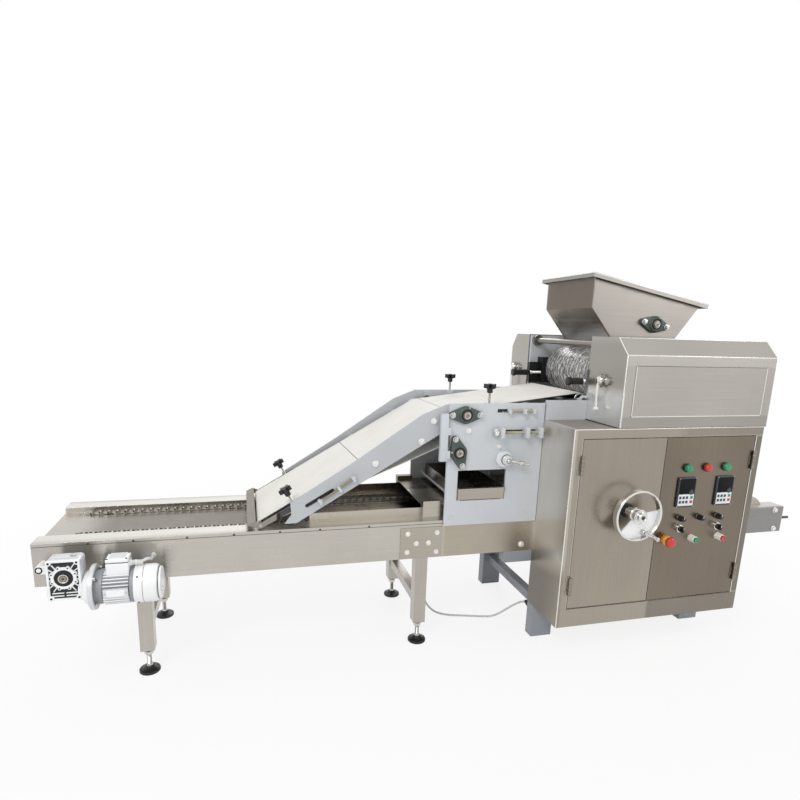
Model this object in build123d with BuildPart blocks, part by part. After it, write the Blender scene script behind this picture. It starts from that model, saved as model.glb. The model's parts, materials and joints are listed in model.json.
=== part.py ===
from build123d import *
import math
import os

# Biscuit making machine: rotary moulder, take-off belt and tray conveyor.
# Millimetres, +X along the conveyor to the tail, +Y away from the operator, +Z up.
# Stations are X distances from the conveyor's left end, depths are Y distances from
# the conveyor's front face and heights are Z distances from the floor.

# Fits and gaps
run_fit = 0.05
belt_gap = 0.4
stud_fit = 0.05
door_gap = 2.0

# Tray conveyor
conveyor_length = 2570.0
conveyor_width = 380.0
conveyor_top = 430.0
beam_height = 125.0
beam_flange = 62.0
beam_sheet = 3.0
tail_length = 300.0
tail_drop = 26.0
floor_drop = 17.5
floor_sheet = 2.0
floor_slot_start = 48.0
floor_slot_end = 146.0
floor_slot_clear = 4.0
cross_bar_width = 24.0
cross_bar_height = 20.0
cross_bar_stations = (220.0, 640.0, 1060.0, 1480.0, 1900.0)
tail_bar_setback = 30.0
chain_inset = 82.0
chain_width = 14.0
chain_height = 12.0
chain_radius = 52.0
chain_drop = 63.0
chain_shaft_radius = 12.5
sprocket_width = 10.0
drive_station = 102.0
tail_setback = 134.0
boss_radius = 26.0
boss_length = 12.0
guard_radius = 73.0
guard_inset = 38.0
take_up_reach = 52.0
take_up_drop = 15.0
take_up_inset = 20.0
take_up_radius = 5.0

# Conveyor drive
gearbox_width = 82.0
gearbox_below = 62.0
gearbox_above = 49.0
gearbox_depth = 62.0
gearbox_gap = 36.0
seal_radius = 30.0
motor_drop = 43.0
motor_flange_radius = 61.5
motor_flange_length = 12.0
motor_neck_radius = 44.0
motor_neck_length = 18.0
motor_body_radius = 47.0
motor_fin_radius = 51.0
motor_fin_count = 22
motor_fin_width = 3.0
motor_body_length = 97.0
motor_cowl_radius = 52.0
motor_cowl_length = 67.0
terminal_offset = 28.0
terminal_length = 57.0
terminal_rise = 84.0
terminal_width = 50.0
lead_radius = 4.0
lead_rise = 62.0
gland_length = 12.0
gland_radius = 8.0
arm_station = 28.0
arm_drop = -4.0

# Conveyor legs and feet
leg_stations = (274.0, 1113.0)
leg_tube = 40.0
leg_wall = 3.0
leg_bottom = 75.0
leg_cross_height = 150.0
leg_cross_tube = 30.0
foot_radius = 30.0
foot_height = 18.0
foot_stem_radius = 7.0
foot_nut_across = 22.0
foot_nut_height = 9.0

# Main frame
cabinet_station = 1506.0
cabinet_width = 690.0
post_width = 76.0
post_depth = 40.0
post_wall = 4.0
wall_bottom = 600.0
cross_tube = 40.0
low_tube_bottom = 95.0
low_tube = 30.0
rail_station = 1405.0

# Cabinet and doors
cabinet_depth = 188.0
cabinet_bottom = 115.0
cabinet_top = 755.0
cabinet_sheet = 2.0
door_margin_left = 33.0
door_margin_right = 27.0
door_margin_top = 31.0
door_margin_bottom = 65.0
left_door_width = 292.0
door_return = 18.0
hinge_radius = 5.0
hinge_pin_radius = 2.5
hinge_lift = 0.5
hinge_length = 60.0
hinge_leaf = 14.0
hinge_leaf_sheet = 1.5
hinge_heights = (256.0, 645.0)
shelf_height = 545.0

# Handwheel on the left door
wheel_station = 1715.0
wheel_height = 497.0
wheel_radius = 80.0
wheel_rim = 7.0
wheel_rim_depth = 22.0
wheel_web = 4.0
wheel_standoff = 42.0
wheel_shaft_radius = 10.0
wheel_sleeve_radius = 15.0
wheel_hub_radius = 22.0
wheel_cap_radius = 15.0
wheel_bush_radius = 17.0
wheel_sector_start = 8.0
wheel_sector_sweep = -140.0
crank_radius = 61.0
crank_angle = -64.0
crank_pin_radius = 4.0
grip_radius = 6.5
grip_length = 50.0
crank_head_radius = 6.5
crank_head_length = 5.0
grip_gap = 1.5

# Control panel on the right door
lamp_height = 626.0
lamp_stations = (1920.0, 1994.0, 2067.0)
lamp_radius = 13.5
pad_drop = 80.0
pad_stations = (1925.0, 2072.0)
pad_width = 66.0
pad_tall = 98.0
pad_depth = 8.0
pot_drop = 86.0
pot_stations = (1917.0, 1991.0, 2063.0)
pot_radius = 13.0
pot_length = 20.0
selector_drop = 34.0
selector_stations = (1918.0, 2064.0)
selector_radius = 12.0
button_drop = 37.0
estop_station = 1872.0
start_station = 1972.0
stop_station = 2077.0
bezel_radius = 15.0
button_radius = 10.0
button_stroke = 3.0
estop_radius = 20.0
estop_base_radius = 16.0
estop_stem_radius = 8.0
estop_stroke = 6.0

# Walls, rollers and gears
wall_plate = 12.0
back_wall_depth = 405.0
wall_rise = 123.0
wall_step_station = 1659.0
roller_front_gap = 27.0
roller_length = 338.0
mould_station = 1794.0
mould_height = 897.0
mould_radius = 85.0
nip_gap = 7.0
rubber_radius = 56.0
feed_gap = 2.0
feed_radius = 65.0
mould_shaft_radius = 20.0
rubber_shaft_radius = 20.0
feed_shaft_radius = 17.5
gear_module = 4.0
mould_teeth = 43
rubber_teeth = 31
feed_teeth = 33
pinion_teeth = 20
pinion_angle = -45.0
gear_width = 25.0
gear_setback = 25.0
gear_backlash = 1.2
gear_clear = 15.0
pinion_shaft_radius = 12.5
block_station = 1650.0
block_step = 42.0
block_length = 245.0
block_below = 57.0
block_low_rise = 20.0
block_rise = 40.0
block_gap = 2.0
clamp_drop = 19.0
clamp_radius = 7.0
clamp_grip_radius = 11.0
clamp_front_station = 1587.0
clamp_back_station = 1573.0
clamp_front_grip = 57.0
clamp_back_grip = 72.0
clamp_bite = 30.0
clamp_beside = 12.0
tie_station = 1682.0
tie_rise = 103.0
tie_radius = 10.0

# Housings
housing_station = 1655.0
housing_length = 549.0
shoulder_rise = 76.0
housing_rise = 126.0
lid_seam = 0.2
housing_chamfer = 49.0
housing_sheet = 2.0
back_housing_depth = 140.0
back_chamfer = 36.0
panel_margin_x = 34.0
panel_margin_bottom = 35.0
panel_margin_top = 30.0
lever_front_depth = -87.0
lever_back_depth = 505.0
lever_drop = 7.0
lever_shaft_radius = 8.0
lever_length = 88.0
lever_width = 20.0
lever_sheet = 6.0
lever_flange = 8.0
lever_flange_span = 46.0

# Hopper and agitator
hopper_depth = 36.0
hopper_length = 297.0
hopper_sheet = 2.0
hopper_left_station = 1670.0
hopper_left_rise = 233.0
hopper_knee_rise = 129.0
outlet_left = 1781.0
outlet_right = 1971.0
outlet_rise = 88.0
hopper_right_station = 2089.0
hopper_right_rise = 156.0
rim_width = 16.0
rim_sheet = 3.0
hopper_lug = 6.0
hopper_lug_rise = 15.0
hopper_lug_tall = 25.0
hopper_lug_start = 90.0
hopper_lug_end = 10.0
agitator_station = 1908.0
agitator_rise = 83.0
agitator_radius = 10.0
paddle_radius = 40.0
paddle_sheet = 8.0
agitator_tilt = -10.0

# Side plates and take-off belt
plate_station = 1179.0
plate_width = 326.0
plate_overlap = 17.0
plate_height = 396.0
plate_thick = 8.0
window_offset = 39.0
window_width = 166.0
window_rise = 82.0
window_height = 100.0
belt_inset = 30.0
belt_thick = 2.0
belt_shaft_radius = 10.0
kink_offset = 53.0
kink_drop = 35.5
kink_radius = 11.0
bend_offset = -7.0
bend_drop = 50.0
bend_radius = 18.0
return_offset = 35.0
return_drop = 154.0
return_radius = 25.0
return_tilt = 107.0
crest_station = 1648.0
crest_drop = 79.0
crest_radius = 20.0
crest_shaft_radius = 8.0
nose_station = 607.0
nose_clear = 3.1
nose_radius = 8.0
nose_shaft_radius = 5.0
incline_thick = 6.0
incline_foot_offset = 70.0
incline_foot_length = 35.0
incline_foot_clear = 18.0
incline_heel = (20.0, 44.0)
incline_top = ((87.0, 81.0), (272.0, 197.0), (493.0, 346.0), (564.0, 375.0))
incline_end_offset = 36.0
incline_end_drop = 4.0
incline_end_height = 57.0
slot_offset = 175.0
slot_rise = 93.0
slot_length = 88.0
slot_width = 12.0
bed_sheet = 3.0
bed_bar = 16.0
nose_arm = 18.0
nose_plate_reach = 30.0
arm_boss_radius = 15.0
bearing_span = 90.0
bearing_tip_radius = 11.0
bearing_body_radius = 28.0
bearing_base = 10.0
bearing_ring_radius = 22.0
bearing_height = 18.0
bearing_bolt_radius = 8.0
bearing_bolt_height = 8.0
shaft_overrun = 3.0

# Knobs, take-ups and crumb drawer
knob_stud_radius = 4.0
knob_stud_length = 38.0
knob_stud_bite = 18.0
knob_neck_radius = 9.0
knob_neck_height = 14.0
knob_lobe_circle = 14.0
knob_lobe_radius = 7.0
knob_height = 14.0
knob_lobes = 5
upper_knob_offset = 138.0
lower_knob_offset = 99.0
lug_drop = 6.2
lug_width = 22.0
lug_depth = 20.0
lug_height = 24.0
tension_drop = 91.0
tension_block = 12.0
tension_block_tall = 34.0
tension_depth = 34.0
tension_offsets = (171.0, 257.0, 304.0)
tension_rod_radius = 5.0
tension_knob_offset = 150.0
cam_offset = 190.0
cam_rise = 36.0
cam_radius = 27.0
cam_offset_x = 7.0
cam_offset_z = -2.0
cam_hub_radius = 16.0
cam_bar_length = 78.0
cam_bar_radius = 4.0
cam_bar_angle = -13.0
cam_pivot_radius = 6.0
drawer_gap = 3.0
drawer_height = 40.0
drawer_sheet = 2.0
drawer_length = 340.0
runner = 10.0
tunnel_start = 1116.0
tunnel_end = 2195.0
tunnel_inset = 20.0
tunnel_rise = 45.0
tunnel_sheet = 2.0
guide_start = 755.0
guide_inset = 38.0
guide_rise = 34.0
end_block_length = 58.0
end_block_depth = 22.0
end_block_rise = 60.0
post_offset = 37.0
post_bar_width = 33.0
post_bar_drop = 30.0
post_bar_height = 199.0
post_bar_depth = 14.0

# Slots, adjusters and bolts, as offsets from the plate or beam that carries them
plate_slot_offset = 161.0
plate_slot_length = 45.0
plate_slot_height = 12.0
adjuster_drop = 24.0
adjuster_offset = 193.0
adjuster_length = 90.0
incline_adjuster = ((-4.0, -12.0), (102.0, 59.0))
adjuster_radius = 4.0
splice_station = 1038.0
splice_length = 140.0
splice_sheet = 3.0
splice_bolts = ((24.0, 86.0), (53.0, 52.0), (94.0, 52.0), (122.0, 85.0), (23.0, 24.0), (121.0, 20.0))
strip_drop = 7.0
strip_screw_radius = 3.5
strip_screws = (141.0, 257.0, 400.0, 530.0, 663.0, 783.0, 936.0)
incline_bolts = ((-264.0, -124.0), (-120.0, -58.0), (-82.0, 6.0))
plate_high_bolts = ((174.0, -139.0), (67.0, -87.0))
plate_low_bolts = ((285.0, 27.0), (21.0, 27.0))
beam_bolt = (1464.0, 23.0)
end_bolts = ((-42.0, 87.0), (-35.0, 13.0))
bolt_across = 16.0
bolt_height = 8.0

# Supply lead on the floor, as station, depth and height
supply_radius = 3.5
supply_gland_length = 10.0
supply_leg_height = 200.0
supply_post_offset = 12.0
supply_post_height = 95.0

# Frame of reference: origin on the floor at the middle of the outer box
front_reach = (cabinet_depth + wheel_standoff + wheel_rim_depth + grip_gap
               + grip_length + crank_head_length)
back_reach = back_wall_depth + wall_plate + back_housing_depth
front = (front_reach - back_reach) / 2
back = front + conveyor_width
x_left = -(conveyor_length + take_up_reach) / 2
x_right = x_left + conveyor_length
x_tail = x_right - tail_length
conveyor_bottom = conveyor_top - beam_height
tail_top = conveyor_top - tail_drop
floor_top = conveyor_top - floor_drop
tail_station = conveyor_length - tail_setback
bar_stations = cross_bar_stations + (conveyor_length - tail_length - tail_bar_setback,)
pad_height = lamp_height - pad_drop
pot_height = pad_height - pot_drop
selector_height = pot_height - selector_drop
button_height = selector_height - button_drop
chain_shaft_height = conveyor_top - chain_drop
take_up_height = chain_shaft_height - take_up_drop
gearbox_bottom = chain_shaft_height - gearbox_below
gearbox_top = chain_shaft_height + gearbox_above
motor_height = chain_shaft_height - motor_drop
motor_start = drive_station + gearbox_width / 2 + motor_neck_length + motor_flange_length
motor_body_end = motor_start + motor_body_length
motor_cowl_end = motor_body_end + motor_cowl_length
terminal_start = motor_start + terminal_offset
terminal_end = terminal_start + terminal_length
terminal_top = motor_height + terminal_rise
lead_height = motor_height + lead_rise
arm_height = chain_shaft_height - arm_drop
wall_top = mould_height + wall_rise
crest_height = mould_height - crest_drop
small_plate_top = crest_height
block_bottom = mould_height - block_below
block_low_top = mould_height + block_low_rise
block_top = mould_height + block_rise
clamp_height = mould_height - clamp_drop
tie_height = mould_height + tie_rise
housing_shoulder = mould_height + shoulder_rise
housing_top = mould_height + housing_rise
panel_bottom = cabinet_top + panel_margin_bottom
panel_top = housing_shoulder - panel_margin_top
lever_height = mould_height - lever_drop
outlet_height = mould_height + outlet_rise
hopper_left_top = outlet_height + hopper_left_rise
hopper_knee = outlet_height + hopper_knee_rise
hopper_right_top = outlet_height + hopper_right_rise
agitator_height = outlet_height + agitator_rise
plate_bottom = conveyor_top - plate_overlap
plate_top = plate_bottom + plate_height
window_start = plate_station + window_offset
window_end = window_start + window_width
window_bottom = plate_bottom + window_rise
window_top = window_bottom + window_height
kink_station = plate_station + kink_offset
kink_height = plate_top - kink_drop
bend_station = plate_station + bend_offset
bend_height = plate_top - bend_drop
return_station = plate_station + return_offset
return_height = plate_top - return_drop
nose_height = conveyor_top + nose_clear + belt_thick + belt_gap + nose_radius
incline_foot_start = nose_station + incline_foot_offset
incline_foot_end = incline_foot_start + incline_foot_length
incline_foot = conveyor_top + incline_foot_clear
incline_end_station = plate_station + incline_end_offset
incline_end_high = plate_top - incline_end_drop
incline_end_low = incline_end_high - incline_end_height
slot_station = nose_station + slot_offset
slot_height = conveyor_top + slot_rise
upper_knob_station = plate_station + upper_knob_offset
lower_knob_station = nose_station + lower_knob_offset
tension_height = plate_top - tension_drop
tension_knob_station = plate_station + tension_knob_offset
cam_station = plate_station + cam_offset
cam_height = window_top + cam_rise
tunnel_top = conveyor_top + tunnel_rise
guide_top = conveyor_top + guide_rise
end_block_top = conveyor_top + end_block_rise
post_station = plate_station - post_offset
post_bar_top = plate_top - post_bar_drop
post_bar_bottom = post_bar_top - post_bar_height
cab_left = x_left + cabinet_station
cab_right = cab_left + cabinet_width
cab_front = front - cabinet_depth
back_wall = front + back_wall_depth
housing_left = x_left + housing_station
housing_right = housing_left + housing_length
plate_left = x_left + plate_station
plate_right = plate_left + plate_width
door_left = cab_left + door_margin_left
door_right = cab_right - door_margin_right
door_bottom = cabinet_bottom + door_margin_bottom
door_top = cabinet_top - door_margin_top
door_seam = door_left + left_door_width + door_gap / 2
motor_depth = gearbox_gap + gearbox_depth / 2


def x_at(station):
    return x_left + station


def block(x0, x1, y0, y1, z0, z1, mode=Mode.ADD):
    with Locations(((x0 + x1) / 2, (y0 + y1) / 2, (z0 + z1) / 2)):
        Box(abs(x1 - x0), abs(y1 - y0), abs(z1 - z0), mode=mode)


def rod_x(x0, x1, y, z, radius, mode=Mode.ADD):
    with Locations(((x0 + x1) / 2, y, z)):
        Cylinder(radius, abs(x1 - x0), rotation=(0, 90, 0), mode=mode)


def rod_y(x, y0, y1, z, radius, mode=Mode.ADD):
    with Locations((x, (y0 + y1) / 2, z)):
        Cylinder(radius, abs(y1 - y0), rotation=(90, 0, 0), mode=mode)


def rod_z(x, y, z0, z1, radius, mode=Mode.ADD):
    with Locations((x, y, (z0 + z1) / 2)):
        Cylinder(radius, abs(z1 - z0), mode=mode)


def prism(points, y0, y1, mode=Mode.ADD):
    """Extrude an outline of X and Z points from one depth to another."""
    with BuildSketch(Plane.XZ.offset(-y0)) as outline:
        with BuildLine():
            Polyline(*points, close=True)
        make_face()
    extrude(outline.sketch, amount=y0 - y1, mode=mode)


def prism_x(points, x0, x1, mode=Mode.ADD):
    """Extrude an outline of Y and Z points from one station to another."""
    with BuildSketch(Plane.YZ.offset(x0)) as outline:
        with BuildLine():
            Polyline(*points, close=True)
        make_face()
    extrude(outline.sketch, amount=x1 - x0, mode=mode)


def hex_y(x, z, y0, y1, across):
    with BuildSketch(Plane.XZ.offset(-y0)) as head:
        with Locations((x, z)):
            RegularPolygon(across / 2, 6, major_radius=False)
    extrude(head.sketch, amount=y0 - y1)


def hex_x(x0, x1, y, z, across):
    with BuildSketch(Plane.YZ.offset(x0)) as head:
        with Locations((y, z)):
            RegularPolygon(across / 2, 6, major_radius=False)
    extrude(head.sketch, amount=x1 - x0)


def keep(part, name):
    part.label = name
    export_step(part, "parts/" + name + ".step")


os.makedirs("parts", exist_ok=True)


# Tray conveyor trough: two folded channels, cross bars, floor and tail guards
def channel(y_out, inward):
    y_web = y_out + inward * beam_sheet
    y_lip = y_out + inward * beam_flange
    y_boss = y_web + inward * boss_length
    block(x_left, x_tail, y_out, y_web, conveyor_bottom, conveyor_top)
    block(x_tail, x_right, y_out, y_web, conveyor_bottom, tail_top)
    block(x_left, x_tail, y_out, y_lip, conveyor_top - beam_sheet, conveyor_top)
    block(x_tail, x_right, y_out, y_lip, tail_top - beam_sheet, tail_top)
    block(x_left, x_tail, y_lip - inward * beam_sheet, y_lip, floor_top - floor_sheet, conveyor_top)
    block(x_left, x_right, y_out, y_lip, conveyor_bottom, conveyor_bottom + beam_sheet)
    block(x_left, x_left + beam_sheet, y_out, y_lip, conveyor_bottom, conveyor_top)
    block(x_tail - beam_sheet, x_tail, y_out, y_lip, tail_top - beam_sheet, conveyor_top)
    block(x_right - beam_sheet, x_right, y_out, y_lip, conveyor_bottom, tail_top)
    bore = chain_shaft_radius + run_fit
    rod_y(x_at(drive_station), y_web, y_boss, chain_shaft_height, boss_radius)
    rod_y(x_at(drive_station), y_out, y_boss, chain_shaft_height, bore, Mode.SUBTRACT)
    rod_y(x_at(tail_station), y_web, y_boss, chain_shaft_height, boss_radius)
    rod_y(x_at(tail_station), y_web, y_boss, chain_shaft_height, bore, Mode.SUBTRACT)


def chain_guard(y0, y1):
    with BuildSketch(Plane.XZ.offset(-y0)) as guard:
        run = tail_station - (conveyor_length - tail_length)
        middle = x_tail + run / 2
        with Locations((x_at(tail_station), chain_shaft_height)):
            Circle(guard_radius)
        with Locations((middle, chain_shaft_height)):
            Rectangle(run, 2 * guard_radius)
        with Locations((x_at(tail_station), chain_shaft_height)):
            Circle(guard_radius - beam_sheet, mode=Mode.SUBTRACT)
        with Locations((middle, chain_shaft_height)):
            Rectangle(run, 2 * (guard_radius - beam_sheet), mode=Mode.SUBTRACT)
        low = tail_top - 2 * guard_radius
        with Locations((middle, low)):
            Rectangle(4 * run, 4 * guard_radius, mode=Mode.SUBTRACT)
    extrude(guard.sketch, amount=y0 - y1)


with BuildPart() as conveyor_trough:
    channel(front, 1)
    channel(back, -1)
    for station in bar_stations:
        bar_top = floor_top - floor_sheet
        block(x_at(station - cross_bar_width / 2), x_at(station + cross_bar_width / 2),
              front + beam_sheet, back - beam_sheet, bar_top - cross_bar_height, bar_top)
    block(x_left, x_tail, front + beam_flange, back - beam_flange, floor_top - floor_sheet, floor_top)
    for y in (front + chain_inset, back - chain_inset - chain_width):
        block(x_at(floor_slot_start), x_at(floor_slot_end), y - floor_slot_clear,
              y + chain_width + floor_slot_clear, floor_top - floor_sheet, floor_top, Mode.SUBTRACT)
    chain_guard(front + guard_inset, front + chain_inset + chain_width + 2)
    chain_guard(back - chain_inset - chain_width - 2, back - guard_inset)
keep(conveyor_trough.part, "conveyor_trough")


# Carrying chains as closed bands around the sprockets
def chain(y0):
    middle = x_at((drive_station + tail_station) / 2)
    span = tail_station - drive_station
    with BuildSketch(Plane.XZ.offset(-y0)) as band:
        with Locations((middle, chain_shaft_height)):
            SlotCenterToCenter(span, 2 * chain_radius + chain_height)
            SlotCenterToCenter(span, 2 * chain_radius - chain_height, mode=Mode.SUBTRACT)
    extrude(band.sketch, amount=-chain_width)


with BuildPart() as conveyor_chains:
    chain(front + chain_inset)
    chain(back - chain_inset - chain_width)
keep(conveyor_chains.part, "conveyor_chains")


def sprocket_shaft(x, y0, y1):
    sprocket_radius = chain_radius - chain_height / 2 - belt_gap
    side = (chain_width - sprocket_width) / 2
    with BuildPart() as shaft:
        rod_y(x, y0, y1, chain_shaft_height, chain_shaft_radius)
        for y in (front + chain_inset + side, back - chain_inset - side - sprocket_width):
            rod_y(x, y, y + sprocket_width, chain_shaft_height, sprocket_radius)
            rod_y(x, y - side, y + sprocket_width + side, chain_shaft_height, 2 * chain_shaft_radius)
    return shaft.part


keep(sprocket_shaft(x_at(drive_station), front - gearbox_gap - gearbox_depth - shaft_overrun,
                    back + shaft_overrun), "chain_drive_shaft")
keep(sprocket_shaft(x_at(tail_station), front + beam_sheet + 1, back - beam_sheet - 1),
     "chain_tail_shaft")


# Conveyor gearmotor: worm gearbox on the drive shaft, motor along the beam
with BuildPart() as conveyor_gearmotor:
    gear_x = x_at(drive_station)
    gear_back = front - gearbox_gap
    gear_front = gear_back - gearbox_depth
    motor_y = front - motor_depth
    gear_right = gear_x + gearbox_width / 2
    neck_end = gear_right + motor_neck_length
    flange_end = neck_end + motor_flange_length
    with Locations((gear_x, (gear_front + gear_back) / 2, (gearbox_bottom + gearbox_top) / 2)):
        Box(gearbox_width, gearbox_depth - 12, gearbox_top - gearbox_bottom)
    fillet(conveyor_gearmotor.edges().filter_by(Axis.Y), 14)
    rod_y(gear_x, gear_front, gear_back, chain_shaft_height, seal_radius + 8)
    rod_y(gear_x, gear_front, gear_front + 4, chain_shaft_height, seal_radius, Mode.SUBTRACT)
    rod_x(gear_right - 8, neck_end, motor_y, motor_height, motor_neck_radius)
    rod_x(neck_end, flange_end, motor_y, motor_height, motor_flange_radius)
    rod_x(flange_end, x_at(motor_body_end), motor_y, motor_height, motor_body_radius)
    for index in range(motor_fin_count):
        turn = 360.0 * index / motor_fin_count
        with BuildSketch(Plane.YZ.offset(flange_end)) as fin:
            with Locations(Location((motor_y, motor_height), turn)):
                with Locations((motor_fin_radius / 2, 0)):
                    Rectangle(motor_fin_radius, motor_fin_width)
        extrude(amount=x_at(motor_body_end) - flange_end)
    rod_x(x_at(motor_body_end), x_at(motor_cowl_end) - 8, motor_y, motor_height, motor_cowl_radius)
    rod_x(x_at(motor_cowl_end) - 8, x_at(motor_cowl_end), motor_y, motor_height, motor_cowl_radius - 8)
    block(x_at(terminal_start), x_at(terminal_end), motor_y - terminal_width / 2,
          motor_y + terminal_width / 2, motor_height + motor_body_radius / 2, terminal_top)
    rod_x(x_at(terminal_end), x_at(terminal_end) + gland_length, motor_y, lead_height, gland_radius)
    # Torque arm from the gearbox to the beam's end
    block(x_at(arm_station), gear_x, gear_back - 8, gear_back - 2, arm_height - 11, arm_height + 11)
    rod_y(x_at(arm_station), gear_back - 8, front, arm_height, 11)
    rod_y(gear_x, gear_front, gear_back, chain_shaft_height, chain_shaft_radius + run_fit,
          Mode.SUBTRACT)
keep(conveyor_gearmotor.part, "conveyor_gearmotor")


def cord_radii(points):
    """The largest bend at each inner point that leaves a tenth of every run straight."""
    radii = []
    for before, here, after in zip(points, points[1:], points[2:]):
        run_in = Vector(*here) - Vector(*before)
        run_out = Vector(*after) - Vector(*here)
        half = math.radians(run_in.get_angle(run_out)) / 2
        radii.append(0.45 * min(run_in.length, run_out.length) / math.tan(half))
    return radii


def cord(points, radius):
    radii = cord_radii(points)
    start = Vector(*points[0])
    with BuildPart() as lead:
        with BuildLine() as route:
            FilletPolyline(*points, radius=radii)
        with BuildSketch(Plane(origin=start, z_dir=Vector(*points[1]) - start)):
            Circle(radius)
        sweep(path=route.line)
    length = sum(edge.length for edge in route.edges())
    print("cord bends", [round(r) for r in radii], "length", round(length),
          "volume ratio", round(lead.part.volume / (math.pi * radius ** 2 * length), 4))
    return lead.part


motor_lead_route = (
    (x_at(terminal_end) + gland_length, front - motor_depth, lead_height),
    (x_at(terminal_end) + gland_length + 16, front - motor_depth, lead_height),
    (x_at(terminal_end) + gland_length + 31, front - motor_depth + 14, lead_height + 5),
    (x_at(terminal_end) + gland_length + 38, front - motor_depth + 34, lead_height - 8),
    (x_at(terminal_end) + gland_length + 38, front, lead_height - 8),
)
keep(cord(motor_lead_route, lead_radius), "motor_lead")


# Conveyor legs: two H-frames of square tube
def leg_tube_at(x, y):
    half = leg_tube / 2
    inner = half - leg_wall
    block(x - half, x + half, y - half, y + half, leg_bottom, conveyor_bottom)
    block(x - inner, x + inner, y - inner, y + inner, leg_bottom + leg_wall,
          conveyor_bottom - leg_wall, Mode.SUBTRACT)


leg_front = front + leg_tube / 2
leg_back = back - leg_tube / 2
with BuildPart() as conveyor_legs:
    for station in leg_stations:
        leg_tube_at(x_at(station), leg_front)
        leg_tube_at(x_at(station), leg_back)
        block(x_at(station) - leg_cross_tube / 2, x_at(station) + leg_cross_tube / 2,
              leg_front + leg_tube / 2, leg_back - leg_tube / 2,
              leg_cross_height - leg_cross_tube / 2, leg_cross_height + leg_cross_tube / 2)
    rod_y(x_at(leg_stations[1]), leg_front + leg_tube / 2,
          leg_front + leg_tube / 2 + supply_gland_length, supply_leg_height, 2 * supply_radius)
keep(conveyor_legs.part, "conveyor_legs")

with BuildPart() as levelling_feet:
    for station in leg_stations:
        for y in (leg_front, leg_back):
            rod_z(x_at(station), y, 0, foot_height / 2, foot_radius)
            with Locations((x_at(station), y, foot_height * 0.75)):
                Cone(foot_radius, foot_stem_radius * 2, foot_height / 2)
            rod_z(x_at(station), y, foot_height, leg_bottom, foot_stem_radius)
            with BuildSketch(Plane.XY.offset(leg_bottom - 2 * foot_nut_height)):
                with Locations((x_at(station), y)):
                    RegularPolygon(foot_nut_across / 2, 6, major_radius=False)
            extrude(amount=foot_nut_height)
keep(levelling_feet.part, "levelling_feet")


# Main frame: four posts, cross tubes and rails under the conveyor
def post(x0, y0):
    block(x0, x0 + post_width, y0, y0 + post_depth, 0, wall_bottom)
    block(x0 + post_wall, x0 + post_width - post_wall, y0 + post_wall, y0 + post_depth - post_wall,
          0, wall_bottom - post_wall, Mode.SUBTRACT)


post_left = cab_left + cabinet_sheet
post_right = cab_right - cabinet_sheet - post_width
with BuildPart() as main_frame:
    for x in (post_left, post_right):
        post(x, front - post_depth)
        post(x, back)
        middle = x + post_width / 2
        block(middle - cross_tube / 2, middle + cross_tube / 2, front, back,
              conveyor_bottom - cross_tube, conveyor_bottom)
        block(middle - low_tube / 2, middle + low_tube / 2, front, back,
              low_tube_bottom, low_tube_bottom + low_tube)
    for y in (front, back - cross_tube):
        block(x_at(rail_station), post_right + post_width / 2, y, y + cross_tube,
              conveyor_bottom - cross_tube, conveyor_bottom)
    rod_y(post_left + supply_post_offset, front, front + supply_gland_length, supply_post_height,
          2 * supply_radius)
keep(main_frame.part, "main_frame")

supply_leg_y = leg_front + leg_tube / 2 + supply_gland_length
supply_route = (
    (x_at(leg_stations[1]), supply_leg_y, supply_leg_height),
    (x_at(leg_stations[1]), supply_leg_y + 30, supply_leg_height),
    (x_at(leg_stations[1]) + 26, supply_leg_y + 54, 174.0),
    (x_at(leg_stations[1]) + 46, supply_leg_y + 76, 124.0),
    (x_at(leg_stations[1]) + 67, supply_leg_y + 92, 68.0),
    (x_at(leg_stations[1]) + 104, supply_leg_y + 101, 24.0),
    (x_at(1267.0), front + 152, 5.0),
    (x_at(1327.0), front + 138, 4.0),
    (x_at(1387.0), front + 118, 5.0),
    (x_at(1428.0), front + 100, 10.0),
    (post_left + supply_post_offset - 60, front + 84, 36.0),
    (post_left + supply_post_offset - 24, front + 62, 74.0),
    (post_left + supply_post_offset, front + 38, supply_post_height),
    (post_left + supply_post_offset, front + supply_gland_length, supply_post_height),
)
keep(cord(supply_route, supply_radius), "supply_lead")

# Roller and gear centres
rubber_height = mould_height - mould_radius - nip_gap - rubber_radius
feed_station = mould_station + mould_radius + feed_gap + feed_radius


def gear_tip(teeth):
    return gear_module * (teeth / 2 + 0.8)


pinion_reach = gear_module * (rubber_teeth + pinion_teeth) / 2
pinion_x = x_at(mould_station) + pinion_reach * math.cos(math.radians(pinion_angle))
pinion_z = rubber_height + pinion_reach * math.sin(math.radians(pinion_angle))
mould_x = x_at(mould_station)
feed_x = x_at(feed_station)
roller_front = front + roller_front_gap
roller_back = roller_front + roller_length

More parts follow.
